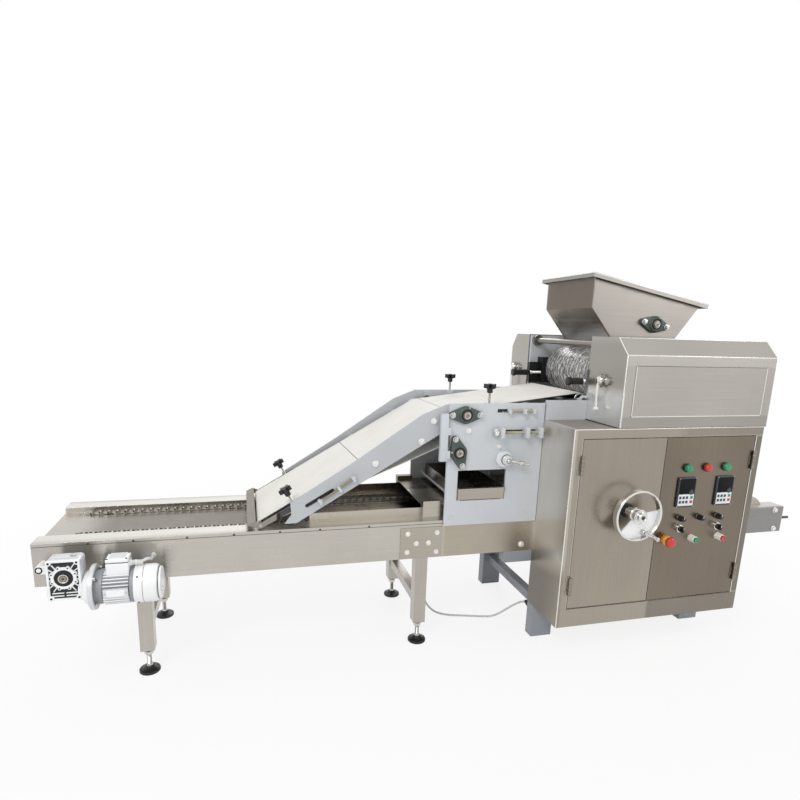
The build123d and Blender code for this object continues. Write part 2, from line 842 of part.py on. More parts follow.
# Cabinet shell with an inset door opening, shelf and hinge knuckles
knuckle_gap = 0.3
door_knuckle = hinge_length / 2
hinge_y = cab_front - hinge_radius - hinge_lift
gear_plane = front - wall_plate - gear_setback - gear_width
with BuildPart() as cabinet_shell:
    block(cab_left, cab_right, cab_front, front, cabinet_bottom, cabinet_top)
    block(cab_left + cabinet_sheet, cab_right - cabinet_sheet, cab_front + cabinet_sheet, front,
          cabinet_bottom + cabinet_sheet, cabinet_top - cabinet_sheet, Mode.SUBTRACT)
    block(door_left - door_gap, door_right + door_gap, cab_front, cab_front + cabinet_sheet,
          door_bottom - door_gap, door_top + door_gap, Mode.SUBTRACT)
    # Openings for the posts, the walls and the gears
    block(cab_left + cabinet_sheet, cab_right - cabinet_sheet, front - post_depth, front,
          cabinet_bottom, cabinet_bottom + cabinet_sheet, Mode.SUBTRACT)
    block(cab_left + cabinet_sheet, cab_right - cabinet_sheet, front - wall_plate, front,
          cabinet_top - cabinet_sheet, cabinet_top, Mode.SUBTRACT)
    block(mould_x - gear_tip(rubber_teeth) - gear_clear, pinion_x + gear_tip(pinion_teeth) + gear_clear,
          gear_plane - gear_clear, front, cabinet_top - cabinet_sheet, cabinet_top, Mode.SUBTRACT)
    block(cab_left + cabinet_sheet, cab_right - cabinet_sheet, cab_front + 2 * door_return,
          front - post_depth, shelf_height - cabinet_sheet, shelf_height)
    for x, side in ((door_left, -1), (door_right, 1)):
        for z in hinge_heights:
            for low in (z - hinge_length / 2, z + door_knuckle / 2 + knuckle_gap):
                high = low + (hinge_length - door_knuckle) / 2 - knuckle_gap
                rod_z(x, hinge_y, low, high, hinge_radius)
                block(x, x + side * hinge_leaf, cab_front - hinge_leaf_sheet, cab_front, low, high)
                rod_z(x, hinge_y, low, high, hinge_pin_radius, Mode.SUBTRACT)
keep(cabinet_shell.part, "cabinet_shell")


# Doors: pans with returns, one half of each hinge
def door_pan(x0, x1, x_hinge, side):
    block(x0, x1, cab_front, cab_front + door_return, door_bottom, door_top)
    block(x0 + cabinet_sheet, x1 - cabinet_sheet, cab_front + cabinet_sheet, cab_front + door_return,
          door_bottom + cabinet_sheet, door_top - cabinet_sheet, Mode.SUBTRACT)
    for z in hinge_heights:
        low = z - door_knuckle / 2
        high = z + door_knuckle / 2
        rod_z(x_hinge, hinge_y, low, high, hinge_radius)
        block(x_hinge, x_hinge + side * hinge_leaf, cab_front - hinge_leaf_sheet, cab_front, low, high)
        rod_z(x_hinge, hinge_y, low, high, hinge_pin_radius + run_fit, Mode.SUBTRACT)


wheel_x = x_at(wheel_station)
with BuildPart() as left_door:
    door_pan(door_left, door_seam - door_gap / 2, door_left, 1)
    rod_y(wheel_x, cab_front - 8, cab_front + 14, wheel_height, wheel_bush_radius)
    rod_y(wheel_x, cab_front - 8, cab_front + 14, wheel_height, wheel_shaft_radius + run_fit,
          Mode.SUBTRACT)
keep(left_door.part, "left_door")

with BuildPart() as right_door:
    door_pan(door_seam + door_gap / 2, door_right, door_right, -1)
keep(right_door.part, "right_door")

# Handwheel: rim, web sector, hub, shaft through the door and fixed crank pin
rim_back = cab_front - wheel_standoff
rim_front = rim_back - wheel_rim_depth
pin_x = wheel_x + crank_radius * math.cos(math.radians(crank_angle))
pin_z = wheel_height + crank_radius * math.sin(math.radians(crank_angle))
grip_back = rim_front - grip_gap
grip_front = grip_back - grip_length
pin_tip = grip_front - crank_head_length
with BuildPart() as handwheel:
    rod_y(wheel_x, rim_front, rim_back, wheel_height, wheel_radius)
    rod_y(wheel_x, rim_front, rim_back, wheel_height, wheel_radius - wheel_rim, Mode.SUBTRACT)
    inner = wheel_radius - wheel_rim / 2
    with BuildSketch(Plane.XZ.offset(-rim_back + 2)):
        with BuildLine():
            rim_arc = CenterArc((wheel_x, wheel_height), inner, wheel_sector_start, wheel_sector_sweep)
            Polyline(rim_arc @ 1, (wheel_x, wheel_height), rim_arc @ 0)
        make_face()
    extrude(amount=wheel_web)
    rod_y(wheel_x, rim_front - 4, rim_back + 4, wheel_height, wheel_hub_radius)
    rod_y(wheel_x, rim_front - 16, rim_front - 4, wheel_height, wheel_cap_radius)
    rod_y(wheel_x, rim_back, cab_front - 10, wheel_height, wheel_sleeve_radius)
    rod_y(wheel_x, rim_back, cab_front + 22, wheel_height, wheel_shaft_radius)
    rod_y(wheel_x, cab_front + 15, cab_front + 22, wheel_height, wheel_bush_radius - 3)
    rod_y(pin_x, rim_back - wheel_web, rim_front, pin_z, 2 * crank_pin_radius)
    rod_y(pin_x, pin_tip, rim_back - wheel_web, pin_z, crank_pin_radius)
    rod_y(pin_x, pin_tip, grip_front - 0.3, pin_z, crank_head_radius)
keep(handwheel.part, "handwheel")

with BuildPart() as handwheel_grip:
    rod_y(pin_x, grip_back, grip_front, pin_z, grip_radius)
    rod_y(pin_x, grip_back, grip_front, pin_z, crank_pin_radius + run_fit, Mode.SUBTRACT)
keep(handwheel_grip.part, "handwheel_grip")

# Fixed fittings of the control panel
pot_washer = 3.0
bezel_height = 24.0
selector_bezel = 10.0
selector_stem = 5.0
pot_stem = 3.0
estop_base = 16.0
with BuildPart() as panel_fittings:
    for station in lamp_stations:
        rod_y(x_at(station), cab_front, cab_front - 6, lamp_height, lamp_radius + 1.5)
        rod_y(x_at(station), cab_front - 6, cab_front - 16, lamp_height, lamp_radius)
        rod_y(x_at(station), cab_front - 16, cab_front - 20, lamp_height, lamp_radius * 0.7)
    for station in pad_stations:
        block(x_at(station) - pad_width / 2, x_at(station) + pad_width / 2, cab_front,
              cab_front - pad_depth, pad_height - pad_tall / 2, pad_height + pad_tall / 2)
    for station in pot_stations:
        rod_y(x_at(station), cab_front, cab_front - pot_washer, pot_height, 8)
        rod_y(x_at(station), cab_front, cab_front - pot_washer, pot_height, pot_stem + run_fit,
              Mode.SUBTRACT)
    for station in selector_stations:
        rod_y(x_at(station), cab_front, cab_front - selector_bezel, selector_height, bezel_radius)
        rod_y(x_at(station), cab_front, cab_front - selector_bezel, selector_height,
              selector_stem + run_fit, Mode.SUBTRACT)
    for station in (start_station, stop_station):
        rod_y(x_at(station), cab_front, cab_front - bezel_height, button_height, bezel_radius - 1)
        rod_y(x_at(station), cab_front, cab_front - bezel_height, button_height,
              button_radius + run_fit, Mode.SUBTRACT)
    rod_y(x_at(estop_station), cab_front, cab_front - estop_base, button_height, estop_base_radius)
    rod_y(x_at(estop_station), cab_front, cab_front - estop_base, button_height,
          estop_stem_radius + run_fit, Mode.SUBTRACT)
keep(panel_fittings.part, "panel_fittings")


def push_button(station):
    with BuildPart() as button:
        rod_y(x_at(station), cab_front - button_stroke - 1, cab_front - bezel_height - 5,
              button_height, button_radius)
    return button.part


keep(push_button(start_station), "start_button")
keep(push_button(stop_station), "stop_button")

with BuildPart() as estop_button:
    head_back = cab_front - estop_base - estop_stroke - 1
    rod_y(x_at(estop_station), cab_front - estop_stroke - 1, head_back, button_height,
          estop_stem_radius)
    rod_y(x_at(estop_station), head_back, head_back - 9, button_height, estop_radius)
    with Locations((x_at(estop_station), head_back - 11.5, button_height)):
        Cone(estop_radius, estop_radius * 0.75, 5, rotation=(90, 0, 0))
keep(estop_button.part, "estop_button")


def selector(station):
    x = x_at(station)
    base = cab_front - selector_bezel
    with BuildPart() as knob:
        rod_y(x, cab_front - 1, base, selector_height, selector_stem)
        rod_y(x, base, base - 8, selector_height, selector_radius)
        block(x - 4, x + 4, base - 8, base - 18, selector_height - selector_radius,
              selector_height + selector_radius)
    return knob.part


keep(selector(selector_stations[0]), "selector_left")
keep(selector(selector_stations[1]), "selector_right")


def speed_knob(station):
    x = x_at(station)
    base = cab_front - pot_washer
    with BuildPart() as knob:
        rod_y(x, cab_front - 0.5, base, pot_height, pot_stem)
        with Locations((x, base - pot_length / 2, pot_height)):
            Cone(pot_radius, pot_radius * 0.7, pot_length, rotation=(90, 0, 0))
        block(x - 1, x + 1, base - 2, base - pot_length - 1, pot_height, pot_height + pot_radius * 0.7)
    return knob.part


keep(speed_knob(pot_stations[0]), "speed_knob_left")
keep(speed_knob(pot_stations[1]), "speed_knob_middle")
keep(speed_knob(pot_stations[2]), "speed_knob_right")

# Walls that carry the rollers
wall_left = cab_left + cabinet_sheet + 1
wall_right = cab_right - cabinet_sheet - 1
wall_outline = (
    (wall_left, wall_bottom), (wall_right, wall_bottom), (wall_right, wall_top),
    (x_at(wall_step_station), wall_top), (x_at(wall_step_station), small_plate_top),
    (wall_left, small_plate_top),
)
with BuildPart() as roller_walls:
    for y0, y1 in ((front - wall_plate, front), (back_wall, back_wall + wall_plate)):
        prism(wall_outline, y0, y1)
        rod_y(mould_x, y0, y1, mould_height, mould_shaft_radius + 3, Mode.SUBTRACT)
        rod_y(mould_x, y0, y1, rubber_height, rubber_shaft_radius + run_fit, Mode.SUBTRACT)
        rod_y(feed_x, y0, y1, mould_height, feed_shaft_radius + run_fit, Mode.SUBTRACT)
    rod_y(pinion_x, front - wall_plate, front, pinion_z, pinion_shaft_radius + run_fit,
          Mode.SUBTRACT)
keep(roller_walls.part, "roller_walls")


# Spur gears with straight-sided teeth, phased so that they mesh
def gear_disc(x, z, teeth, phase, y0, y1):
    pitch = math.pi * gear_module
    pitch_radius = gear_module * teeth / 2
    root = pitch_radius - 1.25 * gear_module
    tip = gear_tip(teeth)
    root_half = (0.36 * pitch - gear_backlash / 2) / root
    tip_half = (0.15 * pitch - gear_backlash / 4) / tip
    points = []
    for index in range(teeth):
        middle = phase + 2 * math.pi * index / teeth
        for radius, angle in ((root, -root_half), (tip, -tip_half), (tip, tip_half), (root, root_half)):
            points.append((x + radius * math.cos(middle + angle), z + radius * math.sin(middle + angle)))
    prism(points, y0, y1)


def mesh_phase(phase, teeth, mate_teeth, direction):
    """Phase of the mate in the given direction, so that its gap meets this gear's tooth."""
    return (direction + math.pi
            - (teeth * (phase - direction) + math.pi) / mate_teeth)


mould_phase = math.pi / 2
rubber_phase = mesh_phase(mould_phase, mould_teeth, rubber_teeth, -math.pi / 2)
feed_phase = mesh_phase(mould_phase, mould_teeth, feed_teeth, 0.0)
pinion_phase = mesh_phase(rubber_phase, rubber_teeth, pinion_teeth, math.radians(pinion_angle))
gear_back_y = gear_plane + gear_width


def geared_roller(x, z, radius, shaft_radius, teeth, phase):
    with BuildPart() as roller:
        rod_y(x, roller_front, roller_back, z, radius)
        rod_y(x, gear_plane - shaft_overrun, back_wall + wall_plate, z, shaft_radius)
        gear_disc(x, z, teeth, phase, gear_plane, gear_back_y)
    return roller.part


keep(geared_roller(mould_x, mould_height, mould_radius, mould_shaft_radius, mould_teeth, mould_phase),
     "mould_roller")
keep(geared_roller(mould_x, rubber_height, rubber_radius, rubber_shaft_radius, rubber_teeth,
                   rubber_phase), "rubber_roller")
keep(geared_roller(feed_x, mould_height, feed_radius, feed_shaft_radius, feed_teeth, feed_phase),
     "feed_roller")

main_box_front = cab_front + 2 * door_return + 2
main_box_back = gear_plane - 3
with BuildPart() as drive_pinion:
    rod_y(pinion_x, main_box_back - 40, front, pinion_z, pinion_shaft_radius)
    gear_disc(pinion_x, pinion_z, pinion_teeth, pinion_phase, gear_plane, gear_back_y)
keep(drive_pinion.part, "drive_pinion")

# Gearmotor that drives the moulder, on the cabinet's shelf
main_motor_radius = 55.0
main_motor_length = 210.0
with BuildPart() as main_gearmotor:
    box_half = 60.0
    box_y = (main_box_front + main_box_back) / 2
    motor_z = shelf_height + main_motor_radius + 4
    with Locations((pinion_x, box_y, (shelf_height + pinion_z + box_half * 0.6) / 2)):
        Box(2 * box_half, main_box_back - main_box_front, pinion_z + box_half * 0.6 - shelf_height)
    fillet(main_gearmotor.edges().filter_by(Axis.Y).group_by(Axis.Z)[-1], 10)
    rod_x(pinion_x + box_half, pinion_x + box_half + 12, box_y, motor_z, main_motor_radius)
    rod_x(pinion_x + box_half + 12, pinion_x + box_half + main_motor_length, box_y, motor_z,
          main_motor_radius - 6)
    rod_y(pinion_x, main_box_back - 40, main_box_back, pinion_z, pinion_shaft_radius + run_fit,
          Mode.SUBTRACT)
    rod_y(pinion_x, main_box_back - 42, main_box_back - 39, pinion_z, pinion_shaft_radius + run_fit,
          Mode.SUBTRACT)
keep(main_gearmotor.part, "main_gearmotor")

# Stepped bearing blocks of the mould roller, with sockets for the clamp screws
block_left = x_at(block_station)
block_face = block_left + block_step
front_block = (front, roller_front - block_gap)
back_block = (roller_back + block_gap, back_wall)
clamp_front_y = front_block[1] - clamp_beside
clamp_back_y = back_block[0] + clamp_beside
front_step = clamp_front_y - clamp_radius - 1
back_step = clamp_back_y + clamp_radius + 1
with BuildPart() as mould_bearing_blocks:
    for y0, y1, y_step, y_wall, y_screw in (
        (front_block[0], front_block[1], front_step, front, clamp_front_y),
        (back_block[0], back_block[1], back_step, back_wall, clamp_back_y),
    ):
        block(block_face, block_left + block_length, y0, y1, block_bottom, block_top)
        block(block_left, block_face, y_step, y_wall, block_bottom, block_low_top)
        rod_y(mould_x, y0, y1, mould_height, mould_shaft_radius + run_fit, Mode.SUBTRACT)
        rod_x(block_face, block_face + clamp_bite + 2, y_screw, clamp_height,
              clamp_radius + run_fit, Mode.SUBTRACT)
keep(mould_bearing_blocks.part, "mould_bearing_blocks")


def clamp_screw(station, grip, y):
    grip_end = x_at(station) + grip
    with BuildPart() as screw:
        rod_x(grip_end, block_face + clamp_bite, y, clamp_height, clamp_radius)
        rod_x(x_at(station), grip_end, y, clamp_height, clamp_grip_radius)
        rod_x(x_at(station), x_at(station) + 12, y, clamp_height, clamp_grip_radius + 3)
    return screw.part


keep(clamp_screw(clamp_front_station, clamp_front_grip, clamp_front_y), "front_clamp_screw")
keep(clamp_screw(clamp_back_station, clamp_back_grip, clamp_back_y), "back_clamp_screw")

with BuildPart() as tie_rod:
    rod_y(x_at(tie_station), front, back_wall, tie_height, tie_radius)
    rod_y(x_at(tie_station), back_wall - 14, back_wall, tie_height, 2 * tie_radius)
    rod_y(x_at(tie_station), front, front + 14, tie_height, 2 * tie_radius)
keep(tie_rod.part, "tie_rod")


# Housings over the gears in front and over the bearings behind
def lever_flange_at(y):
    x0 = housing_left - lever_flange
    with BuildSketch(Plane.YZ.offset(x0)) as flange:
        with Locations((y, lever_height)):
            SlotCenterToCenter(lever_flange_span, 24)
            Circle(19)
    extrude(flange.sketch, amount=lever_flange)
    rod_x(x0, housing_left + housing_sheet, y, lever_height, lever_shaft_radius + run_fit,
          Mode.SUBTRACT)


lever_front_y = front + lever_front_depth
lever_back_y = front + lever_back_depth
shell_front = (
    (front, cabinet_top), (cab_front, cabinet_top), (cab_front, housing_shoulder),
    (cab_front + housing_chamfer, housing_top), (front, housing_top),
)
shell_front_inner = (
    (front, cabinet_top), (cab_front + housing_sheet, cabinet_top),
    (cab_front + housing_sheet, housing_shoulder - 1),
    (cab_front + housing_chamfer + 1, housing_top - housing_sheet), (front, housing_top - housing_sheet),
)
with BuildPart() as front_housing:
    prism_x(shell_front, housing_left, housing_right)
    prism_x(shell_front_inner, housing_left + housing_sheet, housing_right - housing_sheet, Mode.SUBTRACT)
    # Clear of the wall's low part at the left and of the wall's end at the right
    block(housing_left, housing_left + housing_sheet, front - wall_plate - 1, front,
          cabinet_top, small_plate_top + 1, Mode.SUBTRACT)
    lever_flange_at(lever_front_y)
    # Inset panel: a groove around its edge and a thin raised field
    block(housing_left + panel_margin_x, housing_right - panel_margin_x, cab_front, cab_front - 1.5,
          panel_bottom, panel_top)
keep(front_housing.part, "front_housing")

housing_back = back_wall + wall_plate + back_housing_depth
shell_back = (
    (back_wall + wall_plate, cabinet_top), (housing_back, cabinet_top),
    (housing_back, housing_shoulder), (housing_back - back_chamfer, housing_top),
    (back_wall + wall_plate, housing_top),
)
shell_back_inner = (
    (back_wall + wall_plate, cabinet_top + housing_sheet),
    (housing_back - housing_sheet, cabinet_top + housing_sheet),
    (housing_back - housing_sheet, housing_shoulder - 1),
    (housing_back - back_chamfer - 1, housing_top - housing_sheet),
    (back_wall + wall_plate, housing_top - housing_sheet),
)
with BuildPart() as back_housing:
    prism_x(shell_back, housing_left, housing_right)
    prism_x(shell_back_inner, housing_left + housing_sheet, housing_right - housing_sheet, Mode.SUBTRACT)
    lever_flange_at(lever_back_y)
    # The chamfered lid lifts off along a seam at the shoulder
    block(housing_left - lever_flange, housing_right, back_wall, back_wall + back_housing_depth + wall_plate,
          housing_shoulder, housing_shoulder + lid_seam, Mode.SUBTRACT)
keep(back_housing.part, "back_housing")


# Crank levers: shaft in the housing's flange, flat arm hanging down
def crank(y):
    hub_right = housing_left - lever_flange - 1
    hub_left = hub_right - 12
    with BuildPart() as lever:
        rod_x(hub_left, housing_left + 30, y, lever_height, lever_shaft_radius)
        rod_x(hub_left, hub_right, y, lever_height, 1.7 * lever_shaft_radius)
        block(hub_left, hub_left + lever_sheet, y - lever_width / 2, y + lever_width / 2,
              lever_height - lever_length, lever_height)
        rod_x(hub_left, hub_left + lever_sheet, y, lever_height - lever_length, lever_width / 2)
        rod_x(hub_left - 6, hub_left, y, lever_height - lever_length, lever_width / 3)
    return lever.part


keep(crank(lever_front_y), "front_crank")
keep(crank(lever_back_y), "back_crank")

# Hopper: folded sheet trough with a sloping rim, bolted between the walls
hop_front = front + hopper_depth
hop_back = hop_front + hopper_length
hop_left = x_at(hopper_left_station)
hop_right = x_at(hopper_right_station)
rim_run = math.hypot(hopper_right_top - hopper_left_top, hop_right - hop_left)
hopper_outline = (
    (hop_left, hopper_left_top), (hop_left, hopper_knee), (x_at(outlet_left), outlet_height),
    (x_at(outlet_right), outlet_height), (hop_right, hopper_right_top),
)
rim_drop = hopper_sheet * 1.5
hopper_inner = (
    (hop_left + hopper_sheet, hopper_left_top + 40), (hop_left + hopper_sheet, hopper_knee + 1),
    (x_at(outlet_left) + rim_drop, outlet_height - 0.5), (x_at(outlet_left) + rim_drop, outlet_height - 5),
    (x_at(outlet_right) - rim_drop, outlet_height - 5), (x_at(outlet_right) - rim_drop, outlet_height - 0.5),
    (hop_right - rim_drop, hopper_right_top), (hop_right - rim_drop, hopper_right_top + 60),
)
with BuildPart() as hopper:
    prism(hopper_outline, hop_front, hop_back)
    rim_plane = Plane(origin=((hop_left + hop_right) / 2, (hop_front + hop_back) / 2,
                              (hopper_left_top + hopper_right_top) / 2),
                      x_dir=(hop_right - hop_left, 0, hopper_right_top - hopper_left_top),
                      z_dir=(hopper_left_top - hopper_right_top, 0, hop_right - hop_left))
    with BuildSketch(rim_plane):
        Rectangle(rim_run + 2 * rim_width, hopper_length + 2 * rim_width)
    extrude(amount=rim_sheet)
    with BuildSketch(rim_plane):
        Rectangle(rim_run + 2 * rim_width, hopper_length + 2 * rim_width)
        Rectangle(rim_run + 2 * (rim_width - rim_sheet), hopper_length + 2 * (rim_width - rim_sheet),
                  mode=Mode.SUBTRACT)
    extrude(amount=-rim_width * 0.75)
    prism(hopper_inner, hop_front + hopper_sheet, hop_back - hopper_sheet, Mode.SUBTRACT)
    lug_z = outlet_height + hopper_lug_rise
    lug_left = feed_x - hopper_lug_start
    lug_right = feed_x - hopper_lug_end
    for y0, y1, y2 in ((hop_front, front, front + hopper_lug), (hop_back, back_wall, back_wall - hopper_lug)):
        block(lug_left, lug_right, y0, y1, lug_z, lug_z + hopper_lug)
        block(lug_left, lug_right, y1, y2, lug_z - hopper_lug_tall, lug_z + hopper_lug)
    rod_y(x_at(agitator_station), hop_front, hop_back, agitator_height, agitator_radius + 2,
          Mode.SUBTRACT)
keep(hopper.part, "hopper")

with BuildPart() as agitator:
    agi_x = x_at(agitator_station)
    rod_y(agi_x, hop_front - bearing_height - shaft_overrun, hop_back + bearing_height + shaft_overrun,
          agitator_height, agitator_radius)
    for index in range(6):
        y = hop_front + hopper_length * (index + 0.5) / 6
        with Locations(Location((agi_x, y, agitator_height), (0, 60 * index, 0))):
            Box(2 * paddle_radius, 3 * paddle_sheet, paddle_sheet)
keep(agitator.part, "agitator")


# Two-bolt flange bearings; outward is the Y direction away from the plate
def flange_bearing(x, z, y, outward, angle, bore):
    half = bearing_span / 2
    plane = Plane(origin=(x, y, z), x_dir=(math.cos(math.radians(angle)), 0, math.sin(math.radians(angle))),
                  z_dir=(0, outward, 0))
    with BuildSketch(plane) as base:
        with BuildLine():
            lean = math.asin((bearing_body_radius - bearing_tip_radius) / half)
            points = []
            for sign in (1, -1):
                tip = (sign * half + sign * bearing_tip_radius * math.sin(lean),
                       bearing_tip_radius * math.cos(lean))
                body = (sign * bearing_body_radius * math.sin(lean), bearing_body_radius * math.cos(lean))
                points.append((tip, body))
            (tip_r, body_r), (tip_l, body_l) = points
            Polyline((tip_r[0], tip_r[1]), body_r, body_l, tip_l, (tip_l[0], -tip_l[1]),
                     (body_l[0], -body_l[1]), (body_r[0], -body_r[1]), (tip_r[0], -tip_r[1]), close=True)
        make_face()
        Circle(bearing_body_radius)
        with Locations((half, 0), (-half, 0)):
            Circle(bearing_tip_radius)
    extrude(base.sketch, amount=bearing_base)
    with BuildSketch(plane) as ring:
        Circle(bearing_ring_radius)
    extrude(ring.sketch, amount=bearing_height)
    with BuildSketch(plane.offset(bearing_base)) as heads:
        with Locations((half, 0), (-half, 0)):
            RegularPolygon(bearing_bolt_radius, 6)
    extrude(heads.sketch, amount=bearing_bolt_height)
    rod_y(x, y, y + outward * bearing_height, z, bore, Mode.SUBTRACT)


kink_x = x_at(kink_station)
return_x = x_at(return_station)
crest_x = x_at(crest_station)
nose_x = x_at(nose_station)
bend_x = x_at(bend_station)
plate_front = front - plate_thick
plate_back = back + plate_thick
with BuildPart() as flange_bearings:
    for y, outward in ((plate_front, -1), (plate_back, 1)):
        flange_bearing(kink_x, kink_height, y, outward, 0, belt_shaft_radius + run_fit)
        flange_bearing(return_x, return_height, y, outward, return_tilt, belt_shaft_radius + run_fit)
    for y, outward in ((hop_front, -1), (hop_back, 1)):
        flange_bearing(x_at(agitator_station), agitator_height, y, outward, -agitator_tilt * outward,
                       agitator_radius + run_fit)
keep(flange_bearings.part, "flange_bearings")

# Take-off belt: a closed band of tangent lines and arcs
inside_rollers = (
    ((mould_x, rubber_height), rubber_radius), ((crest_x, crest_height), crest_radius),
    ((bend_x, bend_height), bend_radius), ((nose_x, nose_height), nose_radius),
)


def belt_rounds(offset):
    """Centres and signed radii around the loop; the return roller lies outside it."""
    rounds = [(centre, radius + belt_gap + offset) for centre, radius in inside_rollers]
    rounds.append(((return_x, return_height), -(return_radius + belt_gap + belt_thick - offset)))
    return rounds


def tangents(rounds):
    """Start and end of the straight run from each round to the next, with its heading."""
    runs = []
    for (c0, r0), (c1, r1) in zip(rounds, rounds[1:] + rounds[:1]):
        dx = c1[0] - c0[0]
        dz = c1[1] - c0[1]
        heading = math.atan2(dz, dx) - math.asin((r1 - r0) / math.hypot(dx, dz))
        nx = -math.sin(heading)
        nz = math.cos(heading)
        runs.append(((c0[0] - r0 * nx, c0[1] - r0 * nz), (c1[0] - r1 * nx, c1[1] - r1 * nz), heading))
    return runs


def belt_face(offset):
    rounds = belt_rounds(offset)
    runs = tangents(rounds)
    with BuildSketch(Plane.XZ.offset(-(front + belt_inset))) as loop:
        with BuildLine():
            for index, (start, end, heading) in enumerate(runs):
                Line(start, end)
                following = (index + 1) % len(runs)
                centre, radius = rounds[following]
                turn = (runs[following][2] - heading + math.pi) % (2 * math.pi) - math.pi
                middle = heading + turn / 2
                ThreePointArc(end, (centre[0] + radius * math.sin(middle),
                                    centre[1] - radius * math.cos(middle)), runs[following][0])
        make_face()
    return loop.sketch


belt_front = front + belt_inset
belt_back = back - belt_inset
with BuildPart() as takeoff_belt:
    extrude(belt_face(belt_thick), amount=belt_front - belt_back)
    extrude(belt_face(0.0), amount=belt_front - belt_back, mode=Mode.SUBTRACT)
keep(takeoff_belt.part, "takeoff_belt")


def belt_roller(x, z, radius, shaft_radius, y0, y1):
    with BuildPart() as roller:
        rod_y(x, belt_front - 4, belt_back + 4, z, radius)
        rod_y(x, y0, y1, z, shaft_radius)
    return roller.part


bearing_out = bearing_height + shaft_overrun
keep(belt_roller(kink_x, kink_height, kink_radius, belt_shaft_radius, plate_front - bearing_out,
                 plate_back + bearing_out), "kink_roller")
keep(belt_roller(return_x, return_height, return_radius, belt_shaft_radius, plate_front - bearing_out,
                 plate_back + bearing_out), "return_roller")
keep(belt_roller(crest_x, crest_height, crest_radius, crest_shaft_radius, front + 0.5, back - 0.5),
     "crest_roller")
keep(belt_roller(nose_x, nose_height, nose_radius, nose_shaft_radius, front + incline_thick + 0.5,
                 back - incline_thick - 0.5), "nose_roller")

# Belt bed: sheets under the two top runs, cross bars, nose arms and crest arms
top_runs = tangents(belt_rounds(0.0))
crest_run = top_runs[1]
incline_run = top_runs[2]


def along(run, distance, drop):
    """A point at a distance back from the run's end and a drop inside the belt."""
    x, z = run[1]
    heading = run[2]
    return (x - distance * math.cos(heading) - drop * math.sin(heading),
            z - distance * math.sin(heading) + drop * math.cos(heading))


def run_length(run):
    return math.hypot(run[1][0] - run[0][0], run[1][1] - run[0][1])


incline_length = run_length(incline_run)
crest_length = run_length(crest_run)


def strip(run, d0, d1, drop0, drop1, y0, y1):
    prism((along(run, d0, drop0), along(run, d1, drop0), along(run, d1, drop1), along(run, d0, drop1)),
          y0, y1)


# Studs of the four lobed knobs
upper_x = x_at(upper_knob_station)
upper_front_y = front + lug_depth / 2
upper_back_y = back - lug_depth / 2
incline_heading = incline_run[2]
stud_up = (-math.sin(incline_heading + math.pi), 0, math.cos(incline_heading + math.pi))
lower_x = x_at(lower_knob_station)
lower_z = incline_run[1][1] + (lower_x - incline_run[1][0]) * math.tan(incline_heading) - lug_drop
lower_front_y = front + incline_thick + lug_depth / 2
lower_back_y = back - incline_thick - lug_depth / 2


def stud_plane(x, y, z, up):
    return Plane(origin=(x, y, z), x_dir=(0, 1, 0), z_dir=up)


def stud_hole(x, y, z, up):
    with BuildSketch(stud_plane(x, y, z, up)) as hole:
        Circle(knob_stud_radius + stud_fit)
    extrude(hole.sketch, amount=-knob_stud_bite - 2, mode=Mode.SUBTRACT)


def lower_lug(y0, y1, y_stud):
    heading = incline_heading + math.pi
    cx = math.cos(heading)
    cz = math.sin(heading)
    half = lug_width / 2
    prism(((lower_x - half * cx, lower_z - half * cz), (lower_x + half * cx, lower_z + half * cz),
           (lower_x + half * cx + lug_height * cz, lower_z + half * cz - lug_height * cx),
           (lower_x - half * cx + lug_height * cz, lower_z - half * cz - lug_height * cx)), y0, y1)
    stud_hole(lower_x, y_stud, lower_z, stud_up)


def arm_plate(y0, y1):
    """Nose arm on one side, with the bore of the nose roller."""
    tip_x = nose_x - nose_radius - belt_thick - nose_plate_reach
    prism((along(incline_run, 150, 3), along(incline_run, 4, 3),
           (tip_x + 22, nose_height + 14), (tip_x, nose_height + 3),
           (nose_x, nose_height - 9), along(incline_run, 150, 3 + nose_arm)), y0, y1)
    rod_y(nose_x, y0, y1, nose_height, nose_shaft_radius + run_fit, Mode.SUBTRACT)


